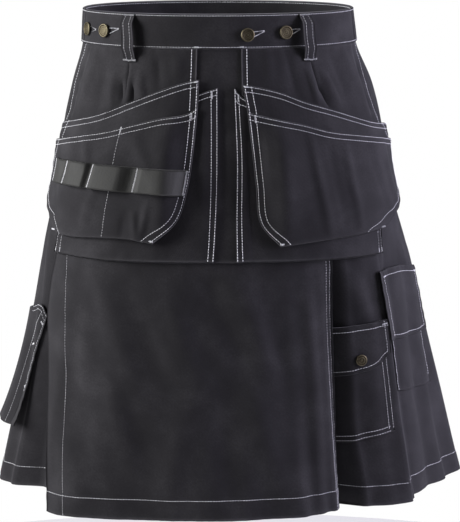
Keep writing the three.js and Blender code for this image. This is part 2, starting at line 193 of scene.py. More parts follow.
@dataclass(frozen=True)
class GarmentForm:
    """The form of the worn garment: sections, folds and creases."""

    # z, half width right, half width left, half depth front, half depth back, squareness
    sections: tuple[tuple[float, ...], ...] = (
        (20, 163, 167, 115, 115, 2.1),
        (-20, 165.5, 172, 118, 119, 2.1),
        (-70, 179.5, 193, 128, 132, 2.2),
        (-120, 191, 205.5, 136, 143, 2.3),
        (-180, 197.5, 213, 144, 151, 2.4),
        (-270, 217.5, 238, 156, 161, 2.5),
        (-420, 243.5, 277, 175, 178, 2.65),
        (-577, 279, 317.5, 197, 195, 2.8),
    )
    # angle, offset under the yoke, offset at the hem
    panel_folds: tuple[tuple[float, float, float], ...] = (
        (-118, 0, 0), (-92, 0, 2), (-86, 0, 0), (-81, -1, -16), (-75, -5, -56),
        (-69, -8, -74), (-62, -8, -68), (-52, -8, -52), (33, -10, -41), (44.5, -10, -66),
        (50, -4, -37), (56, -1, -27), (60, 0, -24), (62.5, -1, -32), (66, -3, -43),
        (74, -4, -45), (82, -2, -24), (90, 0, 0), (102, 0, 4), (118, 0, 0),
    )
    apron_folds: tuple[tuple[float, float, float], ...] = (
        (-70, 0, -12), (-56, 0, -4), (-50, 0, 2), (-40, 0, -1), (-28, 0, -5), (-15, 0, 0),
        (2, 0, 2), (26, 0, -5), (33, 0, -14), (39, 0, -27), (44, 0, -42), (50, 0, -55),
    )
    pleat_first: float = 130.0
    pleat_pitch: float = 20.0
    pleat_half: float = 4.5
    pleat_count: int = 6
    pleat_hip: float = -5.0
    pleat_hem: float = -26.0
    fold_start: float = -150.0
    fold_hip: float = -240.0
    front_creases: tuple[Crease, ...] = (
        Crease(-47.4, -38, -45.6, -80, -2.4, 2.0),
        Crease(-49.0, -62, -47.6, -84, -3.4, 3.6),
        Crease(-44.0, -64, -42.4, -86, -4.4, 4.4),
        Crease(-46.2, -56, -45.2, -84, 2.0, 2.2),
        Crease(-41.0, -52, -37.4, -84, 2.8, 4.4),
        Crease(-53.4, -52, -51.6, -92, 2.2, 5.0),
        Crease(-59.0, -36, -57.0, -98, -1.8, 7.0),
        Crease(-34.0, -30, -31.0, -66, -1.8, 7.0),
        Crease(-24.0, -26, -22.0, -56, 1.4, 8.0),
        Crease(-65.5, -34, -67.0, -100, 1.6, 7.0),
        Crease(47.0, -38, 46.9, -74, -2.2, 2.0),
        Crease(47.6, -66, 50.4, -92, -3.4, 3.4),
        Crease(50.6, -50, 54.5, -94, 2.6, 4.6),
        Crease(44.4, -50, 45.8, -86, 2.2, 3.8),
        Crease(57.5, -30, 60.0, -100, -2.0, 7.0),
        Crease(65.0, -30, 68.0, -100, 1.8, 7.0),
        Crease(36.0, -28, 37.0, -76, -1.8, 7.0),
        Crease(26.0, -26, 25.0, -60, 1.4, 8.0),
        Crease(-71.8, -22, -71.8, -66, -1.5, 1.5),
        Crease(-71.8, -66, -72.6, -121, -1.5, 1.5),
        Crease(73.6, -22, 68.6, -68, -1.5, 1.5),
        Crease(68.6, -68, 70.2, -121, -1.5, 1.5),
        Crease(0.0, -40, 1.0, -258, -1.4, 9.0),
        Crease(-8.0, -90, -9.0, -262, 1.0, 7.0),
        Crease(10.5, -90, 11.0, -262, 1.0, 7.0),
    )
    panel_creases: tuple[Crease, ...] = (
        Crease(-96.0, -60, -92.0, -200, -2.0, 14.0),
        Crease(-104.0, -40, -110.0, -180, 1.6, 16.0),
        Crease(-88.0, -300, -89.0, -560, 1.5, 10.0),
        Crease(-97.0, -260, -99.0, -570, -3.0, 13.0),
        Crease(-107.0, -220, -110.0, -570, 3.0, 15.0),
        Crease(96.0, -60, 92.0, -210, -2.2, 14.0),
        Crease(106.0, -40, 110.0, -190, 1.6, 16.0),
        Crease(98.0, -250, 96.0, -570, -3.4, 13.0),
        Crease(108.0, -220, 107.0, -570, 3.0, 15.0),
        Crease(60.8, -285, 60.4, -560, 2.6, 6.0),
        Crease(63.6, -285, 63.6, -560, -3.2, 5.0),
        Crease(50.0, -280, 54.0, -345, 2.0, 7.0),
        Crease(55.0, -280, 57.4, -345, -2.2, 6.0),
        Crease(46.0, -285, 48.6, -345, -1.8, 6.0),
        Crease(47.0, -425, 55.0, -560, -2.4, 12.0),
        Crease(53.0, -500, 50.0, -570, 2.0, 9.0),
        Crease(78.0, -440, 84.0, -570, -3.2, 12.0),
        Crease(70.0, -450, 72.0, -570, 2.4, 12.0),
        Crease(74.0, -230, 78.0, -300, -1.8, 8.0),
        Crease(81.0, -220, 84.0, -300, 1.8, 8.0),
        Crease(150.0, -60, 143.0, -160, -1.8, 18.0),
        Crease(208.0, -60, 216.0, -170, -1.8, 18.0),
        Crease(175.0, -40, 190.0, -130, -1.4, 20.0),
        Crease(140.0, -300, 141.0, -570, 2.0, 12.0),
        Crease(180.0, -280, 179.0, -570, 2.2, 14.0),
        Crease(219.0, -320, 221.0, -570, 1.8, 12.0),
    )
    apron_creases: tuple[Crease, ...] = (
        Crease(-55.0, -290, -38.0, -420, -3.0, 13.0),
        Crease(-48.0, -290, -26.0, -470, 3.2, 12.0),
        Crease(-40.0, -290, -16.0, -450, -3.0, 13.0),
        Crease(-24.0, -300, -6.0, -430, 2.4, 13.0),
        Crease(-6.0, -285, 12.0, -420, -2.8, 14.0),
        Crease(8.0, -290, 24.0, -440, 2.8, 14.0),
        Crease(18.0, -330, 32.0, -520, -3.2, 14.0),
        Crease(10.0, -400, 22.0, -560, 4.0, 15.0),
        Crease(-12.0, -420, -20.0, -560, 3.2, 15.0),
        Crease(-45.5, -350, -29.5, -530, 4.6, 11.0),
        Crease(-53.0, -400, -43.0, -540, -3.6, 12.0),
        Crease(-27.0, -300, -22.0, -570, 2.4, 22.0),
        Crease(-40.0, -450, -46.0, -565, 1.8, 11.0),
        Crease(35.0, -320, 38.0, -565, 3.2, 9.0),
        Crease(0.0, -460, 4.0, -570, -2.8, 13.0),
        Crease(-53.5, -330, -50.0, -560, -1.6, 7.0),
        Crease(-59.0, -330, -55.0, -560, 1.6, 6.0),
    )

    def size(self, z: np.ndarray, column: int) -> np.ndarray:
        """A smooth curve through the sections, straight in the waistband.

        Args:
            z: Heights in mm.
            column: Which column of the sections to read.

        Returns:
            The section's size at each height.
        """
        rows = np.array(self.sections)[::-1]
        height, value = rows[:, 0], rows[:, column]
        high = np.maximum(height[0], np.asarray(z, float))
        rise = (value[-1] - value[-2]) / (height[-1] - height[-2])
        return np.where(high >= BAND_BOTTOM, value[-1] + (high - height[-1]) * rise,
                        smooth_table(high, height, value))

    def body_radius(self, deg: np.ndarray, z: np.ndarray) -> np.ndarray:
        """A rounded box seen from above, each quarter with its own half width and depth.

        Args:
            deg: Angles from the centre front.
            z: Heights in mm.

        Returns:
            The radius in mm.
        """
        turn = np.radians(deg)
        across, ahead = np.sin(turn), np.cos(turn)
        wide = np.where(across > 0, self.size(z, 2), self.size(z, 1))
        deep = np.where(ahead > 0, self.size(z, 3), self.size(z, 4))
        power = self.size(z, 5)
        total = (np.abs(across) / wide) ** power + (np.abs(ahead) / deep) ** power
        return total ** (-1.0 / power)

    def fold_rows(self, surface: Surface) -> np.ndarray:
        """The fold table of a surface, with the back pleats added.

        Args:
            surface: The panel or the apron.

        Returns:
            Rows of angle, offset under the yoke and offset at the hem.
        """
        if surface is Surface.APRON:
            return np.array(self.apron_folds, float)
        rows = list(self.panel_folds)
        for i in range(self.pleat_count):
            middle = self.pleat_first + i * self.pleat_pitch
            rows += [(middle - self.pleat_half, 0, 0), (middle, self.pleat_hip, self.pleat_hem),
                     (middle + self.pleat_half, 0, 0)]
        return np.array(rows + [(360.0 - BACK_SEAM, 0, 0)], float)

    def softness(self, deg: np.ndarray, z: np.ndarray) -> np.ndarray:
        """Slow unevenness of hanging canvas: four crossed waves, none in the waistband.

        Args:
            deg: Angles of the points.
            z: Heights of the points.

        Returns:
            Offsets in mm.
        """
        s = np.asarray(deg) * 3.2
        wave = (0.50 * np.sin(s / 21.0 + z / 47.0 + 0.7) + 0.42 * np.sin(s / 34.0 - z / 29.0 + 2.1)
                + 0.34 * np.sin(s / 13.0 + z / 71.0 + 4.0) + 0.26 * np.sin(s / 9.0 - z / 55.0 + 1.3))
        return wave * ease((BAND_BOTTOM - 6.0 - z) / 60.0)

    def radius(self, surface: Surface, deg: np.ndarray, z: np.ndarray) -> np.ndarray:
        """The radius of a surface, its folds and creases added to the body's radius.

        Args:
            surface: Which form to read.
            deg: Angles from the centre front.
            z: Heights in mm.

        Returns:
            The radius in mm.
        """
        deg, z = np.broadcast_arrays(np.asarray(deg, float), np.asarray(z, float))
        reach = self.body_radius(deg, z)
        if surface in (Surface.BODY, Surface.SMOOTH):
            side = np.abs(deg)
            creases = np.zeros(deg.shape)
            if surface is Surface.BODY:
                line = np.interp(side, (11, 18, 30, 41, 57, 77, 90), (-57, -60, -71, -83, -99, -115, -125))
                bare = np.where(side < 12.0, 1.0, ease((z - line + 6.0) / 8.0))
                creases = sum((c.offset(deg, z) for c in self.front_creases), creases) * bare
            return reach + (self.softness(deg, z) * 0.8 + creases) * ease((92.0 - side) / 10.0)
        turn = np.where((deg < -BACK_SEAM - 0.001) & (surface is Surface.PANEL), deg + 360.0, deg)
        rows = self.fold_rows(surface)
        hip = eased_table(turn, rows[:, 0], rows[:, 1])
        hem = eased_table(turn, rows[:, 0], rows[:, 2])
        upper = hip * ease((self.fold_start - z) / (self.fold_start - self.fold_hip))
        down = np.clip((self.fold_hip - z) / (self.fold_hip - HEM), 0.0, 1.0) ** 0.85
        reach = reach + np.where(z > self.fold_hip, upper, hip + (hem - hip) * down)
        table = self.panel_creases if surface is Surface.PANEL else self.apron_creases
        creases = sum((c.offset(turn, z) for c in table), np.zeros(deg.shape))
        yoke = ease((np.abs(deg) - 84.0) / 10.0) + ease((YOKE_HEM - 2.0 - z) / 30.0)
        open_part = np.clip(yoke, 0.0, 1.0)
        return reach + (self.softness(deg, z) * 1.3 + creases) * open_part

    def place(self, surface: Surface, deg: np.ndarray, z: np.ndarray, offset: np.ndarray) -> np.ndarray:
        """Points beside a surface, moved out along its normal.

        Args:
            surface: Which form to stand on.
            deg: Angles from the centre front.
            z: Heights in mm.
            offset: Distances outward in mm.

        Returns:
            Points in mm, with the same shape and a last axis of three.
        """
        deg, z, offset = np.broadcast_arrays(np.asarray(deg, float), np.asarray(z, float), offset)

        def at(d: np.ndarray, h: np.ndarray) -> np.ndarray:
            """The surface point at an angle and a height."""
            reach = self.radius(surface, d, h)
            turn = np.radians(d)
            return np.stack([reach * np.sin(turn), -reach * np.cos(turn), h], -1)

        along = at(deg + 0.5, z) - at(deg - 0.5, z)
        up = at(deg, z + 2.5) - at(deg, z - 2.5)
        normal = np.cross(along, up)
        normal /= np.linalg.norm(normal, axis=-1, keepdims=True)
        return at(deg, z) + normal * offset[..., None]


FORM = GarmentForm()


def add_object(name: str, points: np.ndarray, faces: np.ndarray, material: bpy.types.Material,
               uv: np.ndarray | None = None, wear: np.ndarray | None = None,
               smooth: bool = True) -> bpy.types.Object:
    """Makes an object from whole arrays and lets it ride on the garment.

    Args:
        name: The piece's name.
        points: Vertices in mm.
        faces: Quads or triangles as rows of vertex numbers.
        material: Its material.
        uv: One place in metres for each vertex, along and up the cloth.
        wear: One value from 0 to 1 for each vertex, 1 at a worn edge.
        smooth: Whether the faces are shaded smooth.

    Returns:
        The new object.
    """
    mesh = bpy.data.meshes.new(name)
    mesh.from_pydata((points * MM).tolist(), [], faces.tolist())
    mesh.materials.append(material)
    mesh.polygons.foreach_set("use_smooth", np.full(len(mesh.polygons), smooth))
    corner = np.empty(len(mesh.loops), np.int32)
    mesh.loops.foreach_get("vertex_index", corner)
    if uv is not None:
        layer = mesh.uv_layers.new(name="cloth")
        layer.uv.foreach_set("vector", uv[corner].astype(np.float32).ravel())
    if wear is not None:
        layer = mesh.attributes.new("wear", "FLOAT", "POINT")
        layer.data.foreach_set("value", wear.astype(np.float32))
    mesh.update()
    piece = bpy.data.objects.new(name, mesh)
    bpy.context.scene.collection.objects.link(piece)
    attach(piece, "root")
    return piece


def shell_faces(columns: int, rows: int) -> np.ndarray:
    """Quads of a closed wall: an outer sheet, an inner sheet and a rounded rim.

    The rim has a middle ring of its own, listed after both sheets.

    Args:
        columns: Cells across.
        rows: Cells down.

    Returns:
        Rows of four vertex numbers, facing outward.
    """
    width = rows + 1
    size = (columns + 1) * width
    i, j = np.meshgrid(np.arange(columns), np.arange(rows), indexing="ij")
    a = (i * width + j).ravel()
    outer = np.stack([a, a + 1, a + width + 1, a + width], -1)
    inner = np.stack([a, a + width, a + width + 1, a + 1], -1) + size
    ring = rim_ring(columns, rows)
    middle = 2 * size + np.arange(len(ring))
    nxt, mid_nxt = np.roll(ring, -1), np.roll(middle, -1)
    rim_a = np.stack([ring, middle, mid_nxt, nxt], -1)
    rim_b = np.stack([middle, ring + size, nxt + size, mid_nxt], -1)
    return np.concatenate([outer, inner, rim_a, rim_b])


def rim_ring(columns: int, rows: int) -> np.ndarray:
    """The vertex numbers round a sheet's border, in the order that faces the rim outward.

    Args:
        columns: Cells across.
        rows: Cells down.

    Returns:
        Vertex numbers of the outer sheet.
    """
    width = rows + 1
    left = np.arange(0, rows)
    bottom = np.arange(0, columns) * width + rows
    right = columns * width + np.arange(rows, 0, -1)
    top = np.arange(columns, 0, -1) * width
    return np.concatenate([left, bottom, right, top])[::-1]


def merge_places(even: np.ndarray, extra: np.ndarray, gap: float) -> np.ndarray:
    """Adds places to even ones, and thins out those that come too close.

    Args:
        even: Places from 0 to 1.
        extra: More places, in any order.
        gap: Smallest distance kept.

    Returns:
        Rising places from 0 to 1.
    """
    places = np.unique(np.round(np.clip(np.concatenate([even, extra]), 0, 1), 5))
    keep = np.concatenate([[True], np.diff(places) > gap])
    keep[-1] = True
    return places[keep]


@dataclass
class ClothPiece:
    """A cloth wall on a surface, between four edges.

    Its rim is rounded by a share of the wall, its edges are worn and puckered for some
    millimetres, and near the finely folded places its columns stand at the set distances.
    """

    RIM_ROUND: ClassVar[float] = 0.32
    WORN_MM: ClassVar[float] = 2.2
    PUCKERED_MM: ClassVar[float] = 11.0
    FINE_MM: ClassVar[tuple[float, ...]] = (-3.2, -2.2, -1.3, -0.6, 0.0, 0.6, 1.3, 2.2, 3.2)
    FINE_GAP_MM: ClassVar[float] = 0.35

    name: str
    surface: Surface
    offset: float
    wall: float
    columns: int
    rows: int
    flat: tuple[float, float] = (0.0, 0.0)
    area: float | None = None
    held: str = "stretched"
    pucker: float = 0.25
    fine: tuple[float, ...] = ()
    sewn_edges: tuple[Edge, ...] = (Edge.TOP, Edge.BOTTOM, Edge.INNER, Edge.OUTER)

    def outline(self, u: np.ndarray, v: np.ndarray) -> tuple[np.ndarray, np.ndarray]:
        """Angles and heights at places across and down the piece.

        Args:
            u: From the inner edge, 0, to the outer edge, 1.
            v: From the top, 0, to the bottom, 1.

        Returns:
            Angles and heights.
        """
        raise NotImplementedError

    def lift(self, deg: np.ndarray, z: np.ndarray, u: np.ndarray, v: np.ndarray) -> np.ndarray:
        """Extra distance from the surface; none on a plain piece."""
        return np.zeros(np.shape(deg))

    def spacing(self) -> tuple[np.ndarray, np.ndarray]:
        """Even places across and down, with more columns near the finely folded places."""
        across = np.linspace(0, 1, self.columns + 1)
        if self.fine:
            near = np.array(self.FINE_MM) / self.size_mm[0]
            extra = (np.array(self.fine)[:, None] + near).ravel()
            across = merge_places(across, extra, self.FINE_GAP_MM / self.size_mm[0])
        return across, np.linspace(0, 1, self.rows + 1)

    def point(self, u: np.ndarray, v: np.ndarray, side: float = 1.0, proud: float = 0.0) -> np.ndarray:
        """Points of the piece: side 0 on its inner face and 1 on its outer face.

        Args:
            u: Places across.
            v: Places down.
            side: Where in the wall the point lies.
            proud: Distance outside that, in mm.

        Returns:
            Points in mm.
        """
        deg, z = self.outline(u, v)
        height = self.offset + self.lift(deg, z, u, v) + side * self.wall + proud
        return FORM.place(self.surface, deg, z, height + self.pucker_at(u, v))

    def pucker_at(self, u: np.ndarray, v: np.ndarray) -> np.ndarray:
        """Small waves along sewn edges, fading inward.

        Args:
            u: Places across.
            v: Places down.

        Returns:
            Offsets in mm.
        """
        wide, tall = self.size_mm
        total = np.zeros(np.broadcast(u, v).shape)
        for edge in self.sewn_edges:
            away = {Edge.TOP: v * tall, Edge.BOTTOM: (1 - v) * tall,
                    Edge.INNER: u * wide, Edge.OUTER: (1 - u) * wide}[edge]
            run = u * wide if edge in (Edge.TOP, Edge.BOTTOM) else v * tall
            wave = np.sin(run / 2.6 + 0.8 * np.sin(run / 11.0)) + 0.6 * np.sin(run / 5.9 + 1.0)
            total = total + wave * np.exp(-(away / self.PUCKERED_MM) ** 2)
        return self.pucker * total

    @cached_property
    def size_mm(self) -> tuple[float, float]:
        """The piece's size across and down its middle.

        Returns:
            Width and height in mm.
        """
        t = np.linspace(0, 1, 25)
        half = np.full(25, 0.5)
        sizes = []
        for u, v in ((t, half), (half, t)):
            deg, z = self.outline(u, v)
            p = FORM.place(Surface.BODY, deg, z, np.zeros(25))
            sizes.append(float(np.linalg.norm(np.diff(p, axis=0), axis=1).sum()))
        return sizes[0], sizes[1]

    def build(self, material: bpy.types.Material, slot: str = "canvas") -> bpy.types.Object:
        """Args:
            material: The cloth's material.
            slot: The record's material slot; not used.

        Returns:
            The new object.
        """
        across, down = self.spacing()
        u, v = np.meshgrid(across, down, indexing="ij")
        outer, inner = self.point(u, v, 1.0), self.point(u, v, 0.0)
        ring = rim_ring(len(across) - 1, len(down) - 1)
        flat_outer, flat_inner = outer.reshape(-1, 3), inner.reshape(-1, 3)
        middle = (flat_outer[ring] + flat_inner[ring]) / 2.0
        inset_u, inset_v = np.clip(u, 0.004, 0.996), np.clip(v, 0.004, 0.996)
        away = middle - self.point(inset_u, inset_v, 0.5).reshape(-1, 3)[ring]
        away /= np.maximum(np.linalg.norm(away, axis=1, keepdims=True), 1e-6)
        middle += away * self.wall * self.RIM_ROUND
        points = np.concatenate([flat_outer, flat_inner, middle])
        uv = self.cloth_uv(outer)
        wide, tall = self.size_mm
        border = np.minimum(np.minimum(u, 1 - u) * wide, np.minimum(v, 1 - v) * tall).ravel()
        wear = np.exp(-border / self.WORN_MM)
        uv_all = np.concatenate([uv, uv, uv[ring]])
        wear_all = np.concatenate([wear, wear, np.ones(len(ring))])
        faces = shell_faces(len(across) - 1, len(down) - 1)
        piece = add_object(f"{self.name}_cloth", points, faces, material, uv_all, wear_all)
        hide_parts(self.name)
        self.declare(outer)
        return piece

    def cloth_uv(self, outer: np.ndarray) -> np.ndarray:
        """Places along and up the cloth in metres, by arc length.

        Args:
            outer: The grid of the outer face.

        Returns:
            One pair for each point.
        """
        step_u = np.linalg.norm(np.diff(outer, axis=0), axis=2)
        step_v = np.linalg.norm(np.diff(outer, axis=1), axis=2)
        s = np.concatenate([np.zeros((1, outer.shape[1])), np.cumsum(step_u, 0)])
        t = np.concatenate([np.zeros((outer.shape[0], 1)), np.cumsum(step_v, 1)], 1)
        s = s - s[s.shape[0] // 2]
        return np.stack([s.ravel(), -t.ravel()], -1) * MM

    def declare(self, outer: np.ndarray) -> None:
        """Args:
            outer: The grid of its outer face.
        """
        diagonals = np.cross(outer[1:, 1:] - outer[:-1, :-1], outer[1:, :-1] - outer[:-1, 1:])
        area_mm2 = np.linalg.norm(diagonals, axis=2).sum() / 2.0
        width = np.linalg.norm(np.diff(outer, axis=0), axis=2).sum(0).max()
        height = np.linalg.norm(np.diff(outer, axis=1), axis=2).sum(1).max()
        LOG.info("%s covers %.4f m2, %.0f by %.0f mm", self.name, area_mm2 / 1e6, width, height)


@dataclass
class PanelPiece(ClothPiece):
    """A panel between two heights, its upright edges given as z, from and to."""

    top: float = BAND_BOTTOM
    bottom: float = HEM
    edges: tuple[tuple[float, float, float], ...] = ()
    dense: tuple[float, ...] = ()

    def outline(self, u: np.ndarray, v: np.ndarray) -> tuple[np.ndarray, np.ndarray]:
        """Straight across between the two edges at each height."""
        z = self.top + (self.bottom - self.top) * np.asarray(v, float)
        rows = np.array(self.edges, float)[::-1]
        start = np.interp(z, rows[:, 0], rows[:, 1])
        end = np.interp(z, rows[:, 0], rows[:, 2])
        return start + (end - start) * u, z + 0 * u

    def spacing(self) -> tuple[np.ndarray, np.ndarray]:
        """Even places, with more columns round each angle where the cloth turns sharply."""
        across, down = super().spacing()
        if self.dense:
            start, end = self.edges[0][1], self.edges[0][2]
            extra = (np.array(self.dense)[:, None] + np.linspace(-1.6, 1.6, 5)).ravel()
            across = merge_places(across, (extra - start) / (end - start), 0.0012)
        return across, down


@dataclass
class PatchPiece(ClothPiece):
    """A piece between four edge curves, each a short table of angle and height."""

    top: tuple[tuple[float, float], ...] = ()
    inner: tuple[tuple[float, float], ...] = ()
    outer: tuple[tuple[float, float], ...] = ()
    bottom: tuple[tuple[float, float], ...] = ()
    fullness: float = 0.0
    swell: float = 0.0

    @staticmethod
    def along(rows: tuple[tuple[float, float], ...], t: np.ndarray) -> tuple[np.ndarray, np.ndarray]:
        """Reads an edge curve by its length in mm.

        Args:
            rows: Its table.
            t: Places from 0 to 1.

        Returns:
            Angles and heights.
        """
        table = np.array(rows, float)
        step = np.hypot(np.diff(table[:, 0]) * 2.6, np.diff(table[:, 1]))
        key = np.concatenate([[0.0], np.cumsum(step)]) / step.sum()
        deg = smooth_table(t, key, table[:, 0])
        return deg, smooth_table(t, key, table[:, 1])

    def outline(self, u: np.ndarray, v: np.ndarray) -> tuple[np.ndarray, np.ndarray]:
        """Blends the four edges: both ruled sheets, less the one through the corners."""
        u, v = np.asarray(u, float), np.asarray(v, float)
        edges = [self.along(rows, t) for rows, t in
                 ((self.top, u), (self.bottom, u), (self.inner, v), (self.outer, v))]
        corner = [self.along(rows, np.array(t)) for rows, t in
                  ((self.top, 0.0), (self.top, 1.0), (self.bottom, 0.0), (self.bottom, 1.0))]
        result = []
        for k in (0, 1):
            ruled = ((1 - v) * edges[0][k] + v * edges[1][k]
                     + (1 - u) * edges[2][k] + u * edges[3][k])
            flat = ((1 - u) * (1 - v) * corner[0][k] + u * (1 - v) * corner[1][k]
                    + (1 - u) * v * corner[2][k] + u * v * corner[3][k])
            result.append(ruled - flat)
        return result[0], result[1]

    def lift(self, deg: np.ndarray, z: np.ndarray, u: np.ndarray, v: np.ndarray) -> np.ndarray:
        """Fullness of the hanging pockets, read on the body, and the swell of a flat one."""
        total = self.fullness * holster_fullness(deg, z)
        if self.fullness:
            total = total + holster_creases(deg, z)
        return total + self.swell * np.sin(np.pi * u) * np.sin(np.pi * (0.1 + 0.85 * v))


def holster_fullness(deg: np.ndarray, z: np.ndarray) -> np.ndarray:
    """How far a hanging pocket stands off, from 0 at its sewn edge to 3 mm.

    Args:
        deg: Angles of the points.
        z: Heights of the points.

    Returns:
        Distances in mm.
    """
    side = np.abs(deg)
    across = ease((side - 16.0) / 14.0) * (1 - 0.85 * ease((side - 64.0) / 16.0))
    down = ease((-96.0 - z) / 50.0) * (1 - 0.75 * ease((-205.0 - z) / 45.0))
    return 3.0 * across * down


HOLSTER_CREASES = (
    Crease(-28.0, -105, -28.0, -235, 4.4, 25.0), Crease(-24.0, -105, -25.0, -235, 3.8, 12.0),
    Crease(30.0, -112, 30.0, -238, 4.4, 25.0), Crease(26.0, -112, 27.0, -238, 3.8, 12.0),
    Crease(-58.5, -126, -56.0, -160, 2.6, 4.2), Crease(-62.0, -130, -60.0, -165, -1.2, 5.0),
    Crease(-40.0, -122, -31.0, -165, 2.2, 7.5), Crease(-36.5, -212, -35.0, -246, 2.6, 3.8),
    Crease(-40.0, -214, -40.5, -246, -1.0, 3.6), Crease(-31.0, -200, -33.5, -244, 2.2, 3.8),
    Crease(-70.0, -150, -67.0, -205, 2.2, 6.0), Crease(-52.0, -190, -55.0, -236, 2.2, 6.0),
    Crease(40.0, -128, 43.0, -240, 2.6, 5.4), Crease(46.5, -135, 48.5, -235, -1.2, 4.6),
    Crease(52.5, -135, 54.0, -236, 2.8, 4.6), Crease(62.0, -140, 66.0, -222, -1.1, 5.4),
    Crease(70.0, -142, 74.0, -220, 2.2, 5.4), Crease(21.0, -108, 22.0, -190, 1.6, 5.4),
)


def holster_creases(deg: np.ndarray, z: np.ndarray) -> np.ndarray:
    """Soft folds that the layers of a hanging pocket and the webbing share.

    Args:
        deg: Angles of the points.
        z: Heights of the points.

    Returns:
        Distances in mm.
    """
    deg, z = np.broadcast_arrays(np.asarray(deg, float), np.asarray(z, float))
    return sum((c.offset(deg, z) for c in HOLSTER_CREASES), np.zeros(deg.shape))


@dataclass(frozen=True)
class Thread:
    """Sewing thread, drawn a little wider than its real 0.6 mm."""

    width: float = 0.68
    height: float = 0.34
    length: float = 2.6
    pitch: float = 3.3

    def chain(self, points: np.ndarray, normals: np.ndarray, across: bool = False,
              pitch: float | None = None, length: float | None = None) -> tuple[np.ndarray, np.ndarray]:
        """Stitches along a line: each a flat diamond bar with pointed ends.

        Args:
            points: The line, in mm.
            normals: Outward normals at its points.
            across: Whether the stitches lie across the line, as in a bartack.
            pitch: Distance between stitches, if not the thread's own.
            length: Length of a stitch, if not the thread's own.

        Returns:
            Vertices and triangles of all the stitches.
        """
        step = np.linalg.norm(np.diff(points, axis=0), axis=1)
        run = np.concatenate([[0.0], np.cumsum(step)])
        gap = pitch or self.pitch
        count = max(1, int(run[-1] / gap))
        at = (np.arange(count) + 0.5) * run[-1] / count
        middle = np.stack([np.interp(at, run, points[:, k]) for k in range(3)], -1)
        ahead = np.stack([np.interp(at + 0.6, run, points[:, k]) for k in range(3)], -1)
        behind = np.stack([np.interp(at - 0.6, run, points[:, k]) for k in range(3)], -1)
        normal = np.stack([np.interp(at, run, normals[:, k]) for k in range(3)], -1)
        normal /= np.linalg.norm(normal, axis=1, keepdims=True)
        along = ahead - behind
        along /= np.maximum(np.linalg.norm(along, axis=1, keepdims=True), 1e-9)
        side = np.cross(normal, along)
        if across:
            along, side = side, -along
        half, w, h = (length or self.length) / 2.0, self.width / 2.0, self.height
        shape = np.array([[-half, 0, 0], [-half * 0.72, w, 0], [-half * 0.72, 0, h],
                          [-half * 0.72, -w, 0], [half * 0.72, w, 0], [half * 0.72, 0, h],
                          [half * 0.72, -w, 0], [half, 0, 0]])
        local = (middle[:, None] + shape[None, :, 0, None] * along[:, None]
                 + shape[None, :, 1, None] * side[:, None] + shape[None, :, 2, None] * normal[:, None])
        tri = np.array([[0, 1, 2], [0, 2, 3], [1, 4, 5], [1, 5, 2], [2, 5, 6], [2, 6, 3],
                        [4, 7, 5], [5, 7, 6], [0, 3, 1], [1, 3, 6], [1, 6, 4], [4, 6, 7]])[:, ::-1]
        faces = (tri[None] + 8 * np.arange(count)[:, None, None]).reshape(-1, 3)
        return local.reshape(-1, 3), faces


THREAD = Thread()


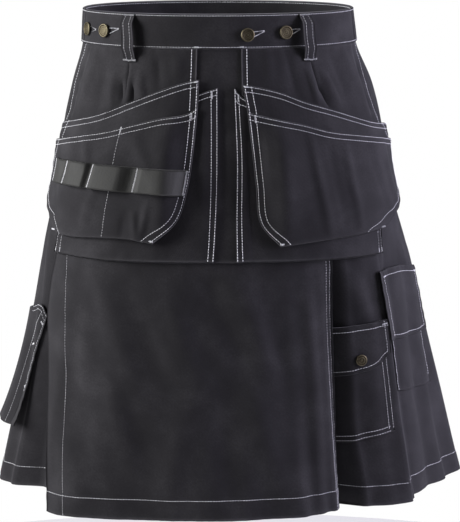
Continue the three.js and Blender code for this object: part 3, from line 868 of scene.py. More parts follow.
@dataclass
class Sewing:
    """Collects the stitches of one sub-assembly and makes them one piece."""

    name: str
    points: list[np.ndarray] = field(default_factory=list)
    faces: list[np.ndarray] = field(default_factory=list)
    count: int = 0

    def add(self, made: tuple[np.ndarray, np.ndarray]) -> None:
        """Adds stitches.

        Args:
            made: Their vertices and triangles.
        """
        self.points.append(made[0])
        self.faces.append(made[1] + self.count)
        self.count += len(made[0])

    def line(self, piece: ClothPiece, places: np.ndarray, **kind: float | bool) -> None:
        """Sews along places across and down a piece.

        Args:
            piece: The cloth that carries the line.
            places: Rows of u and v.
            kind: Passed to the thread.
        """
        u, v = places[:, 0], places[:, 1]
        inside = bool(kind.pop("inside", False))
        side, step = (0.0, -1.0) if inside else (1.0, 1.0)
        base = piece.point(u, v, side, 0.02 * step)
        self.add(THREAD.chain(base, piece.point(u, v, side, 1.02 * step) - base, **kind))

    def edge(self, piece: ClothPiece, edge: Edge, inset: float | Callable[[np.ndarray], np.ndarray],
             start: float = 0.0, end: float = 1.0, **kind: float | bool) -> None:
        """Sews beside an edge.

        Args:
            piece: The cloth that carries the line.
            edge: Which edge.
            inset: Distance from it, in mm, or that distance for places along it.
            start: Where the line starts along the edge, from 0 to 1.
            end: Where it ends.
            kind: Passed to the thread.
        """
        t = np.linspace(start, end, 90)
        inset = inset(t) if callable(inset) else inset
        if edge in (Edge.TOP, Edge.BOTTOM):
            near = 0.0 if edge is Edge.TOP else 1.0
            p, q = piece.point(t, np.full(90, near)), piece.point(t, np.full(90, 0.5))
            share = self.share(p, q, inset)
            places = np.stack([t, near + (share if near == 0.0 else -share)], -1)
        else:
            near = 0.0 if edge is Edge.INNER else 1.0
            p, q = piece.point(np.full(90, near), t), piece.point(np.full(90, 0.5), t)
            share = self.share(p, q, inset)
            places = np.stack([near + (share if near == 0.0 else -share), t], -1)
        self.line(piece, places, **kind)

    @staticmethod
    def share(p: np.ndarray, q: np.ndarray, inset: float | np.ndarray) -> np.ndarray:
        """How far to go toward the middle of a piece to stand a distance from its edge.

        Args:
            p: Points along the edge.
            q: Points along the middle.
            inset: The distance wanted, in mm, square to the edge.

        Returns:
            Shares of the whole piece, one for each point.
        """
        along = np.gradient(p, axis=0)
        along /= np.maximum(np.linalg.norm(along, axis=1, keepdims=True), 1e-9)
        way = q - p
        square = way - (way * along).sum(1, keepdims=True) * along
        return inset / np.maximum(np.linalg.norm(square, axis=1), 1.0) * 0.5

    def on_surface(self, surface: Surface, rows: tuple[tuple[float, float], ...], height: float,
                   **kind: float | bool) -> None:
        """Sews along angles and heights on a surface.

        Args:
            surface: The form.
            rows: Angle and height of each corner of the line.
            height: Distance outward from the form, in mm.
            kind: Passed to the thread.
        """
        table = np.array(rows, float)
        t = np.linspace(0, len(table) - 1, 20 * len(table))
        deg = np.interp(t, np.arange(len(table)), table[:, 0])
        z = np.interp(t, np.arange(len(table)), table[:, 1])
        base = FORM.place(surface, deg, z, np.full(len(t), height))
        high = FORM.place(surface, deg, z, np.full(len(t), height + 1.0))
        self.add(THREAD.chain(base, high - base, **kind))

    def bartack(self, piece: ClothPiece, a: tuple[float, float], b: tuple[float, float],
                width: float = 2.6) -> None:
        """A dense bar of cross stitches between two places on a piece.

        Args:
            piece: The cloth that carries it.
            a: First place, u and v.
            b: Second place.
            width: Length of its stitches, in mm.
        """
        t = np.linspace(0, 1, 12)[:, None]
        places = np.array(a) * (1 - t) + np.array(b) * t
        self.line(piece, places, across=True, pitch=0.95, length=width)

    def build(self, material: bpy.types.Material) -> bpy.types.Object | None:
        """Makes the stitches one object.

        Args:
            material: The thread's material.

        Returns:
            The object, or None where nothing was sewn.
        """
        if not self.points:
            return None
        points, faces = np.concatenate(self.points), np.concatenate(self.faces)
        LOG.info("%s has %d triangles", self.name, len(faces))
        return add_object(self.name, points, faces, material, smooth=False)


def add_node(tree: bpy.types.NodeTree, kind: str, settings: dict[str, object] | None = None,
             **inputs: object) -> bpy.types.Node:
    """Adds a node, sets it and fills its inputs.

    Args:
        tree: The tree that takes it.
        kind: The node's type.
        settings: Properties of the node.
        inputs: Values or sockets by input name, with _ for a space, or by number as i0.

    Returns:
        The new node.
    """
    node = tree.nodes.new(kind)
    for key, value in (settings or {}).items():
        setattr(node, key, value)
    for key, value in inputs.items():
        numbered = key[0] == "i" and key[1:].isdigit()
        socket = node.inputs[int(key[1:]) if numbered else key.replace("_", " ")]
        if isinstance(value, bpy.types.NodeSocket):
            tree.links.new(value, socket)
        else:
            socket.default_value = value
    return node


def new_surface(name: str) -> tuple[bpy.types.Material, bpy.types.NodeTree, bpy.types.Node]:
    """Makes a material with its principled shader.

    Args:
        name: The material's name.

    Returns:
        The material, its tree and the shader.
    """
    material = bpy.data.materials.new(name)
    material.use_nodes = True
    tree = material.node_tree
    return material, tree, tree.nodes["Principled BSDF"]


def ramp(tree: bpy.types.NodeTree, factor: bpy.types.NodeSocket,
         stops: tuple[tuple[float, str], ...]) -> bpy.types.NodeSocket:
    """Colours a value through a ramp.

    Args:
        tree: The material's tree.
        factor: The value.
        stops: Places and hex colours.

    Returns:
        The ramp's colour socket.
    """
    node = add_node(tree, "ShaderNodeValToRGB", Fac=factor)
    rows = node.color_ramp.elements
    while len(rows) < len(stops):
        rows.new(0.5)
    for row, (place, code) in zip(rows, stops):
        row.position, row.color = place, hex_linear(code)
    return node.outputs["Color"]


@dataclass(frozen=True)
class CanvasTwill:
    """Black cotton canvas in a steep twill, about 370 g/m2, matt with a short pale nap."""

    label: str = "black_cotton_canvas_twill"
    faded: str = "2b2a2d"
    main: str = "201f22"
    deep: str = "18171a"
    worn: str = "323134"
    twill_mm: float = 1.5      # real ribs are 0.8 mm apart, drawn coarser so that they show
    slub_mm: float = 2.4
    cloud_mm: float = 55.0

    def build(self) -> bpy.types.Material:
        """Makes the material on the cloth's own UV map, in metres.

        Returns:
            The material.
        """
        material, tree, shader = new_surface(self.label)
        cloth = add_node(tree, "ShaderNodeUVMap", {"uv_map": "cloth"}).outputs["UV"]
        turned = add_node(tree, "ShaderNodeMapping", Vector=cloth,
                          Rotation=(0.0, 0.0, np.radians(27.0))).outputs["Vector"]
        twill = add_node(tree, "ShaderNodeTexWave", {"wave_profile": "SIN"}, Vector=turned,
                         Scale=0.314 / (self.twill_mm * MM), Distortion=0.6, Detail=1.0,
                         Detail_Scale=2.0)
        slub = add_node(tree, "ShaderNodeTexNoise", Vector=cloth, Scale=1.0 / (self.slub_mm * MM),
                        Detail=3.0, Roughness=0.6)
        cloud = add_node(tree, "ShaderNodeTexNoise", Vector=cloth, Scale=1.0 / (self.cloud_mm * MM),
                         Detail=4.0, Roughness=0.55)
        tone = add_node(tree, "ShaderNodeMath", {"operation": "MULTIPLY_ADD"}, i0=slub.outputs["Fac"],
                        i1=0.45, i2=cloud.outputs["Fac"]).outputs[0]
        tone = add_node(tree, "ShaderNodeMath", {"operation": "MULTIPLY_ADD"}, i0=twill.outputs["Fac"],
                        i1=0.10, i2=tone).outputs[0]
        colour = ramp(tree, tone, ((0.52, self.deep), (0.78, self.main), (1.02, self.faded)))
        edge = add_node(tree, "ShaderNodeAttribute", {"attribute_name": "wear"}).outputs["Fac"]
        rub = add_node(tree, "ShaderNodeMath", {"operation": "MULTIPLY"}, i0=edge,
                       i1=slub.outputs["Fac"]).outputs[0]
        mixed = add_node(tree, "ShaderNodeMix", {"data_type": "RGBA"}, i0=rub, i6=colour,
                         i7=hex_linear(self.worn)).outputs[2]
        tree.links.new(mixed, shader.inputs["Base Color"])
        relief = add_node(tree, "ShaderNodeMath", {"operation": "MULTIPLY_ADD"}, i0=slub.outputs["Fac"],
                          i1=0.8, i2=twill.outputs["Fac"]).outputs[0]
        bump = add_node(tree, "ShaderNodeBump", Strength=0.35, Distance=0.22 * MM, Height=relief)
        tree.links.new(bump.outputs["Normal"], shader.inputs["Normal"])
        shader.inputs["Roughness"].default_value = 0.86
        shader.inputs["Specular IOR Level"].default_value = 0.15
        shader.inputs["Sheen Weight"].default_value = 0.09
        shader.inputs["Sheen Roughness"].default_value = 0.45
        shader.inputs["Sheen Tint"].default_value = hex_linear("d8d8de")
        return material


@dataclass(frozen=True)
class CoreSpunThread:
    """Pale grey polyester topstitching thread, a little glossy, with a twist along it."""

    label: str = "pale_grey_polyester_thread"
    light: str = "dcdce0"
    dark: str = "9c9ca4"

    def build(self) -> bpy.types.Material:
        """Makes the material.

        Returns:
            The material.
        """
        material, tree, shader = new_surface(self.label)
        place = add_node(tree, "ShaderNodeTexCoord").outputs["Object"]
        ply = add_node(tree, "ShaderNodeTexNoise", Vector=place, Scale=900.0, Detail=2.0)
        colour = ramp(tree, ply.outputs["Fac"], ((0.35, self.dark), (0.62, self.light)))
        tree.links.new(colour, shader.inputs["Base Color"])
        bump = add_node(tree, "ShaderNodeBump", Strength=0.3, Distance=0.1 * MM,
                        Height=ply.outputs["Fac"])
        tree.links.new(bump.outputs["Normal"], shader.inputs["Normal"])
        shader.inputs["Roughness"].default_value = 0.55
        shader.inputs["Sheen Weight"].default_value = 0.2
        return material


@dataclass(frozen=True)
class RibbedWebbing:
    """Woven nylon webbing, greyed black with an olive cast and ribs across the strap."""

    label: str = "ribbed_nylon_webbing"
    light: str = "161614"
    dark: str = "0b0b0a"
    rib_mm: float = 1.7        # real ribs are 1.1 mm apart, drawn coarser so that they show

    def build(self) -> bpy.types.Material:
        """Makes the material on the strap's own UV map.

        Returns:
            The material.
        """
        material, tree, shader = new_surface(self.label)
        strap = add_node(tree, "ShaderNodeUVMap", {"uv_map": "cloth"}).outputs["UV"]
        rib = add_node(tree, "ShaderNodeTexWave", Vector=strap, Scale=0.314 / (self.rib_mm * MM),
                       Distortion=0.3, Detail=1.0)
        flat = add_node(tree, "ShaderNodeMapping", Vector=strap, Scale=(1.0, 0.25, 1.0))
        grain = add_node(tree, "ShaderNodeTexNoise", Vector=flat.outputs["Vector"], Scale=420.0, Detail=3.0)
        tone = add_node(tree, "ShaderNodeMath", {"operation": "MULTIPLY_ADD"}, i0=rib.outputs["Fac"],
                        i1=0.35, i2=grain.outputs["Fac"]).outputs[0]
        colour = ramp(tree, tone, ((0.4, self.dark), (0.85, self.light)))
        tree.links.new(colour, shader.inputs["Base Color"])
        bump = add_node(tree, "ShaderNodeBump", Strength=0.6, Distance=0.35 * MM, Height=tone)
        tree.links.new(bump.outputs["Normal"], shader.inputs["Normal"])
        shader.inputs["Roughness"].default_value = 0.75
        shader.inputs["Sheen Weight"].default_value = 0.03
        return material


@dataclass(frozen=True)
class AntiqueBrass:
    """Stamped brass with a brown antique finish, rubbed bright on its raised rings."""

    label: str = "antique_brass"
    bright: str = "5c5646"
    patina: str = "241f17"
    mottle_mm: float = 1.6

    def build(self) -> bpy.types.Material:
        """Makes the material; the wear attribute is 1 on the raised rings.

        Returns:
            The material.
        """
        material, tree, shader = new_surface(self.label)
        place = add_node(tree, "ShaderNodeTexCoord").outputs["Object"]
        mottle = add_node(tree, "ShaderNodeTexNoise", Vector=place, Scale=1.0 / (self.mottle_mm * MM),
                          Detail=4.0, Roughness=0.6)
        raised = add_node(tree, "ShaderNodeAttribute", {"attribute_name": "wear"}).outputs["Fac"]
        tone = add_node(tree, "ShaderNodeMath", {"operation": "MULTIPLY_ADD"}, i0=raised, i1=0.5,
                        i2=mottle.outputs["Fac"]).outputs[0]
        colour = ramp(tree, tone, ((0.4, self.patina), (0.95, self.bright)))
        tree.links.new(colour, shader.inputs["Base Color"])
        rough = add_node(tree, "ShaderNodeMapRange", Value=tone, From_Min=0.4, From_Max=1.0,
                         To_Min=0.7, To_Max=0.48)
        tree.links.new(rough.outputs["Result"], shader.inputs["Roughness"])
        bump = add_node(tree, "ShaderNodeBump", Strength=0.35, Distance=0.12 * MM,
                        Height=mottle.outputs["Fac"])
        tree.links.new(bump.outputs["Normal"], shader.inputs["Normal"])
        shader.inputs["Metallic"].default_value = 1.0
        return material


@dataclass(frozen=True)
class StudioPaper:
    """Matt white paper sweep under the garment."""

    label: str = "matt_white_paper"
    tone: str = "ededed"

    def build(self) -> bpy.types.Material:
        """Makes the material with a faint fibre grain.

        Returns:
            The material.
        """
        material, tree, shader = new_surface(self.label)
        place = add_node(tree, "ShaderNodeTexCoord").outputs["Object"]
        fibre = add_node(tree, "ShaderNodeTexNoise", Vector=place, Scale=260.0, Detail=2.0)
        colour = ramp(tree, fibre.outputs["Fac"], ((0.3, self.tone), (0.7, "f2f2f2")))
        tree.links.new(colour, shader.inputs["Base Color"])
        shader.inputs["Roughness"].default_value = 0.95
        return material


@dataclass
class Finishes:
    """The materials of the garment, made once."""

    canvas: bpy.types.Material
    thread: bpy.types.Material
    webbing: bpy.types.Material
    brass: bpy.types.Material


@dataclass
class BandPiece(PanelPiece):
    """A length of waistband, flat on its body and rounded along its folds."""

    def lift(self, deg: np.ndarray, z: np.ndarray, u: np.ndarray, v: np.ndarray) -> np.ndarray:
        """Thins toward the folded top and the sewn bottom edge."""
        wave = 0.25 * np.sin(deg / 7.0) + 0.18 * np.sin(deg / 3.1 + z / 12.0)
        return wave * np.sin(np.pi * np.clip(v, 0, 1))


@dataclass
class Waistband:
    """Doubled waistband of two lengths, sewn together at the sides."""

    side_seam: float = 80.0
    side_gap: float = 0.06
    inner: float = -1.4
    wall: float = 3.3
    line: float = 1.6

    def build(self, kit: Finishes) -> None:
        """Makes both lengths with their stitching.

        Args:
            kit: The materials.
        """
        sewing = Sewing("stitches_waistband")
        spans = {"waistband_front": (-self.side_seam, self.side_seam),
                 "waistband_back": (self.side_seam, 360.0 - self.side_seam)}
        for name, (start, end) in spans.items():
            first, last = start + self.side_gap, end - self.side_gap
            band = BandPiece(name, Surface.BODY, self.inner, self.wall, 96, 12,
                             flat=(0.45, 0.041) if name.endswith("front") else (0.53, 0.041),
                             pucker=0.10, sewn_edges=(Edge.TOP, Edge.BOTTOM), top=BAND_TOP,
                             bottom=BAND_BOTTOM,
                             edges=((BAND_TOP, first, last), (BAND_BOTTOM, first, last)))
            band.build(kit.canvas)
            sewing.edge(band, Edge.TOP, self.line)
            sewing.edge(band, Edge.BOTTOM, self.line)
            sewing.edge(band, Edge.TOP, self.line, inside=True)
            if name.endswith("front"):
                for deg in (-13.6, 12.2):
                    mid = (deg - start) / (end - start)
                    sewing.bartack(band, (mid - 0.008, 0.955), (mid + 0.008, 0.955), 2.0)
        height = self.inner + self.wall + 0.02
        for deg, z, end, end_z in ((-75.0, -2.2, -69.2, -2.0), (-62.9, -2.0, -55.5, 1.0),
                                   (15.5, -4.0, 24.5, 0.0), (36.2, -2.0, 43.5, 1.0)):
            self.buttonhole(sewing, (deg + 2.7, z), (end, end_z), height)
        sewing.build(kit.thread)

    @staticmethod
    def buttonhole(sewing: Sewing, start: tuple[float, float], end: tuple[float, float],
                   height: float) -> None:
        """A stitched buttonhole pulled to a point beside its button.

        Args:
            sewing: Takes the stitches.
            start: Angle and height where it comes out from under the button.
            end: Angle and height of its point.
            height: Distance outward from the body form.
        """
        for sign in (-1.0, 1.0):
            rows = tuple((start[0] + (end[0] - start[0]) * t,
                          start[1] + (end[1] - start[1]) * t + sign * open_mm)
                         for t, open_mm in ((0.0, 3.2), (0.55, 1.9), (1.0, 0.5)))
            sewing.on_surface(Surface.BODY, rows, height, across=True, pitch=0.7, length=1.1)
        rows = ((end[0] - 0.3, end[1]), (end[0] + 0.5, end[1]))
        sewing.on_surface(Surface.BODY, rows, height, across=True, pitch=0.6, length=2.6)


@dataclass
class FrontYoke:
    """The yoke with the front tops and the two flat base pockets on it."""

    edges: tuple[tuple[float, float, float], ...] = (
        (BELOW_BAND, -76.9, 78.2), (-63, -77, 73.4), (-118, -77.2, 75), (-180, -73.5, 73),
        (-238, -69, 64), (YOKE_HEM, -68.4, 62),
    )

    def tops(self) -> tuple[PatchPiece, PatchPiece]:
        """The front tops, between the waistband and the base pockets.

        Returns:
            The wearer's right and left ones.
        """
        right = PatchPiece(
            "front_top_right", Surface.BODY, ON_YOKE, POCKET_WALL, 70, 34,
            flat=(0.20, 0.118), area=0.0162, pucker=0.18,
            top=((-13.2, -20.3), (-40, -20.3), (-75.9, -20.3)),
            inner=((-13.2, -20.3), (-13.2, -72.5)),
            outer=((-75.9, -20.3), (-76.5, -42), (-75.9, -64), (-74.8, -101), (-76, -115), (-75.6, -132.5)),
            bottom=((-13.2, -72.5), (-30, -90.5), (-45, -106.5), (-58, -119.5), (-75.6, -132.5)))
        left = PatchPiece(
            "front_top_left", Surface.BODY, ON_YOKE + 0.1, POCKET_WALL, 72, 34,
            flat=(0.22, 0.122), area=0.0168, pucker=0.18,
            top=((11.9, -20.3), (40, -20.3), (77.4, -20.3)),
            inner=((11.9, -20.3), (11.2, -74.5)),
            outer=((77.4, -20.3), (74.8, -44), (72.2, -68), (72.5, -93), (74.2, -118), (73.9, -134.5)),
            bottom=((11.2, -74.5), (30, -90), (45, -106), (60, -123), (73.9, -134.5)))
        return right, left

    def pockets(self) -> tuple[PatchPiece, PatchPiece]:
        """The flat base pockets behind the holsters.

        Returns:
            The wearer's right and left ones.
        """
        right = PatchPiece(
            "base_pocket_right", Surface.BODY, ON_YOKE, POCKET_WALL, 60, 60,
            flat=(0.20, 0.205), area=0.0358, pucker=0.2,
            top=((-2, -66), (-11.6, -73), (-30, -93), (-45, -109), (-58, -122), (-74.8, -135)),
            inner=((-2, -66), (-2.2, -181), (-3, -241), (-3.6, -269)),
            outer=((-74.8, -135), (-72.8, -180), (-68, -238), (-67.2, -269)),
            bottom=((-3.6, -269), (-30, -269), (-67.2, -269)))
        left = PatchPiece(
            "base_pocket_left", Surface.BODY, ON_YOKE, POCKET_WALL, 60, 60,
            flat=(0.19, 0.205), area=0.0333, pucker=0.2,
            top=((7.2, -66), (11.2, -77), (30, -93), (45, -109), (60, -126), (74, -138)),
            inner=((7.2, -66), (7.6, -151), (6.6, -220), (6.4, -269)),
            outer=((74, -138), (72.2, -180), (63.4, -238), (61.4, -269)),
            bottom=((6.4, -269), (40, -269), (61.4, -269)))
        return right, left

    def build(self, kit: Finishes) -> None:
        """Makes the yoke, its layers and their stitching.

        Args:
            kit: The materials.
        """
        sewing = Sewing("stitches_yoke")
        yoke = PanelPiece("front_yoke", Surface.BODY, 0.0, PANEL_WALL, 110, 62,
                          flat=(0.48, 0.26), area=0.112, top=BELOW_BAND, bottom=YOKE_HEM, edges=self.edges,
                          pucker=0.12)
        yoke.build(kit.canvas)
        for top in self.tops():
            top.fine = (0.50, 0.53, 0.56, 0.59, 0.62)
            top.build(kit.canvas)
            sewing.edge(top, Edge.INNER, 6.6)
            sewing.edge(top, Edge.OUTER, 1.6)
        for pocket in self.pockets():
            pocket.build(kit.canvas)
            sewing.edge(pocket, Edge.TOP, 1.4)
            sewing.edge(pocket, Edge.TOP, 7.2, 0.006)
            sewing.edge(pocket, Edge.INNER, 1.0)
            sewing.edge(pocket, Edge.INNER, 7.8)
            for inset in (1.5, 8.6 if pocket.name.endswith("right") else 5.6):
                sewing.edge(pocket, Edge.OUTER, inset)
                u = 1.0 - inset / pocket.size_mm[0]
                sewing.bartack(pocket, (u, 0.955), (u + 0.002, 0.992), 1.6)
            u = 7.8 / pocket.size_mm[0]
            sewing.bartack(pocket, (u, 0.005), (u, 0.052), 1.7)
        sewing.build(kit.thread)


@dataclass
class Holster:
    """A hanging tool pocket of two layers, open along its lower front edge."""

    side: str
    back: PatchPiece
    front: PatchPiece
    divider: tuple[tuple[tuple[float, float], ...], ...] = ()
    # distances of the lines of stitches from the edges in mm, and the share of the back that shows
    top_lines: tuple[float, ...] = (1.5, 7.4)
    inner_lines: tuple[float, ...] = (2.2, 10.2)
    outer_line: float = 12.0
    outer_drift: float = 2.0
    shown: float = 0.17

    @staticmethod
    def right() -> Holster:
        """The wearer's right holster."""
        bottom = ((-28.8, -248.0), (-39.2, -244.0), (-47.0, -244.5), (-62.2, -248.0), (-70.0, -246.0))
        back = PatchPiece(
            "holster_back_right", Surface.SMOOTH, HOLSTER_BACK, POCKET_WALL, 66, 62,
            flat=(0.205, 0.195), area=0.0345, held="hung", fullness=1.0,
            top=((-11.6, -56.5), (-19.5, -60.5), (-31.2, -70.5), (-44.5, -85.5), (-57.8, -102),
                 (-76.8, -115.5)),
            inner=((-11.6, -56.5), (-12.2, -102), (-14.2, -160), (-15.6, -185), (-19.6, -221),
                   (-28.8, -248)),
            outer=((-76.8, -115.5), (-80.2, -143), (-86.5, -174), (-87, -200), (-81, -221), (-75, -229),
                   (-70, -246)),
            bottom=bottom, sewn_edges=(Edge.TOP, Edge.INNER, Edge.OUTER))
        front = PatchPiece(
            "holster_front_right", Surface.SMOOTH, HOLSTER_FRONT, POCKET_WALL, 66, 54,
            flat=(0.205, 0.165), area=0.029, held="hung", fullness=1.8,
            top=((-12, -88.5), (-16.5, -95.5), (-30, -102.5), (-40.5, -110.5), (-50.5, -119.5),
                 (-60.5, -126.5), (-80, -138.5)),
            inner=((-12, -88.5), (-14.2, -160), (-15.6, -185), (-19.6, -221), (-28.8, -247.4)),
            outer=((-80, -138.5), (-86, -174), (-86.6, -200), (-80.6, -220), (-74.6, -228.4),
                   (-69.6, -245.4)),
            bottom=tuple((max(d, -69.6), z + 0.6) for d, z in bottom),
            sewn_edges=(Edge.TOP, Edge.INNER, Edge.OUTER))
        return Holster("right", back, front,
                       (((-44.9, -113.0), (-46.0, -157.0)), ((-46.4, -188.0), (-47.2, -243.0))))

    @staticmethod
    def left() -> Holster:
        """The wearer's left holster."""
        bottom = ((24.8, -252.0), (42.0, -246.5), (54.0, -244.0), (63.8, -241.0))
        back = PatchPiece(
            "holster_back_left", Surface.SMOOTH, HOLSTER_BACK, POCKET_WALL, 66, 62,
            flat=(0.21, 0.195), area=0.0350, held="hung", fullness=1.0,
            top=((11.6, -63), (16.5, -64.5), (29.8, -72.5), (40.8, -84.5), (50.8, -94.5), (61.2, -106.5),
                 (66.8, -113), (80.5, -121.5)),
            inner=((11.6, -63), (14, -103), (16, -181), (17.4, -225), (24.8, -252)),
            outer=((80.5, -121.5), (84.5, -148), (86, -172), (85, -196), (79.6, -216), (70.6, -229),
                   (63.8, -241)),
            bottom=bottom, sewn_edges=(Edge.TOP, Edge.INNER, Edge.OUTER))
        front = PatchPiece(
            "holster_front_left", Surface.SMOOTH, HOLSTER_FRONT, POCKET_WALL, 66, 54,
            flat=(0.21, 0.16), area=0.0295, held="hung", fullness=1.8,
            top=((13.4, -94.5), (28.2, -104.5), (39, -111.5), (48.5, -120.5), (58.5, -126.5), (84, -142)),
            inner=((13.4, -94.5), (16, -181), (17.4, -225), (24.8, -251.4)),
            outer=((84, -142), (85.6, -172), (84.6, -196), (79.2, -215.5), (70.2, -228.5), (63.4, -240.4)),
            bottom=tuple((min(d, 63.4), z + 0.6) for d, z in bottom),
            sewn_edges=(Edge.TOP, Edge.INNER, Edge.OUTER))
        return Holster("left", back, front)

    def build(self, kit: Finishes) -> None:
        """Makes both layers with their stitching and bartacks.

        Args:
            kit: The materials.
        """
        self.back.build(kit.canvas)
        self.front.build(kit.canvas)
        sewing = Sewing(f"stitches_holster_{self.side}")
        for inset in self.top_lines:
            sewing.edge(self.back, Edge.TOP, inset)
            sewing.edge(self.front, Edge.TOP, inset)
        for inset in self.inner_lines:
            sewing.edge(self.back, Edge.INNER, inset, 0.0, self.shown)
            sewing.edge(self.front, Edge.INNER, inset)
        sewing.edge(self.back, Edge.OUTER, self.outer_line, 0.0, self.shown)
        sewing.edge(self.front, Edge.OUTER, lambda t: self.outer_line + self.outer_drift * t)
        back_mm, front_mm = self.back.size_mm[0], self.front.size_mm[0]
        sewing.bartack(self.back, (2.0 / back_mm, 0.008), (9.5 / back_mm, 0.008), 1.8)
        sewing.bartack(self.back, (0.985, 0.006), (0.998, 0.006), 1.8)
        inner = self.inner_lines[1] / front_mm
        sewing.bartack(self.front, (inner, 0.008), (inner, 0.062), 1.9)
        sewing.bartack(self.front, (1.6 / front_mm, 0.985), (10.5 / front_mm, 0.985), 2.4)
        sewing.bartack(self.front, (1.0 - 14.0 / front_mm, 0.975), (1.0 - 1.5 / front_mm, 0.985), 2.4)
        for k, rows in enumerate(self.divider):
            deg, z = np.linspace(rows[0], rows[1], 30).T
            rise = (HOLSTER_FRONT + POCKET_WALL + self.front.fullness * holster_fullness(deg, z)
                    + holster_creases(deg, z))
            base = FORM.place(Surface.SMOOTH, deg, z, rise + 0.02)
            high = FORM.place(Surface.SMOOTH, deg, z, rise + 1.02)
            sewing.add(THREAD.chain(base, high - base))
            if k == 0:
                sewing.add(THREAD.chain(base[:6], (high - base)[:6], across=True, pitch=0.9, length=1.9))
        sewing.build(kit.thread)


@dataclass
class WebbingStrap(ClothPiece):
    """A strap tacked down at five places, standing off in a loop after each."""

    tacks: tuple[float, ...] = (-75.0, -65.5, -53.8, -36.8, -16.2)
    rises: tuple[float, ...] = (1.0, 4.6, 6.5, 6.5)
    climbs: tuple[float, ...] = (0.3, 0.35, 0.12, 0.12)
    falls: tuple[float, ...] = (0.9, 0.80, 0.58, 0.76)
    drops: tuple[float, ...] = (0.10, 0.15, 0.34, 0.20)
    top: float = -157.0
    bottom: float = -187.0

    def outline(self, u: np.ndarray, v: np.ndarray) -> tuple[np.ndarray, np.ndarray]:
        """Angles between the tacks, and heights that fall toward the centre front."""
        steps = np.linspace(0, 1, len(self.tacks))
        deg = np.interp(u, steps, self.tacks) - 1.6 * (v - 0.5)
        slant = np.where(deg > -60.0, -0.1, 0.14) * (deg + 60.0)
        return deg, self.top + (self.bottom - self.top) * v + slant

    def lift(self, deg: np.ndarray, z: np.ndarray, u: np.ndarray, v: np.ndarray) -> np.ndarray:
        """A loop that rises at once after a tack, rounds over and drops before the next."""
        spans = len(self.tacks) - 1
        place = np.clip(np.asarray(u) * spans, 0, spans - 1e-9)
        t = place - np.floor(place)
        span = np.floor(place).astype(int)
        height = np.array(self.rises)[span]
        fall = ease((t - np.array(self.falls)[span]) / np.array(self.drops)[span])
        loop = ease(t / np.array(self.climbs)[span]) * (1.0 - fall)
        return 1.8 * holster_fullness(deg, z) + holster_creases(deg, z) + height * loop


@dataclass
class Webbing:
    """The tool webbing across the right holster."""

    def build(self, kit: Finishes) -> None:
        """Makes the strap and its bright bartacks.

        Args:
            kit: The materials.
        """
        strap = WebbingStrap("webbing_right", Surface.SMOOTH, ON_HOLSTER, 1.5, 150, 12,
                             flat=(0.226, 0.031), held="stretched", pucker=0.0)
        strap.build(kit.webbing, "webbing")
        sewing = Sewing("stitches_webbing")
        for k in range(len(strap.tacks)):
            u = min(max(k / (len(strap.tacks) - 1), 0.006), 0.994)
            sewing.bartack(strap, (u, 0.02), (u, 0.98), 2.2)
        sewing.build(kit.thread)


@dataclass
class HemmedPanel(PanelPiece):
    """A skirt panel whose hem is turned up and sewn, so that it is a little thicker."""

    def lift(self, deg: np.ndarray, z: np.ndarray, u: np.ndarray, v: np.ndarray) -> np.ndarray:
        """A doubled hem that puckers along its line of stitches."""
        above = z - HEM
        hem = 0.55 * ease((HEM_TURN + 2.0 - above) / 4.0)
        line = np.exp(-((above - HEM_TURN) / 3.0) ** 2)
        pull = -0.45 * line - 0.3 * line * np.sin(deg * 3.2 / 2.2)
        return hem + pull


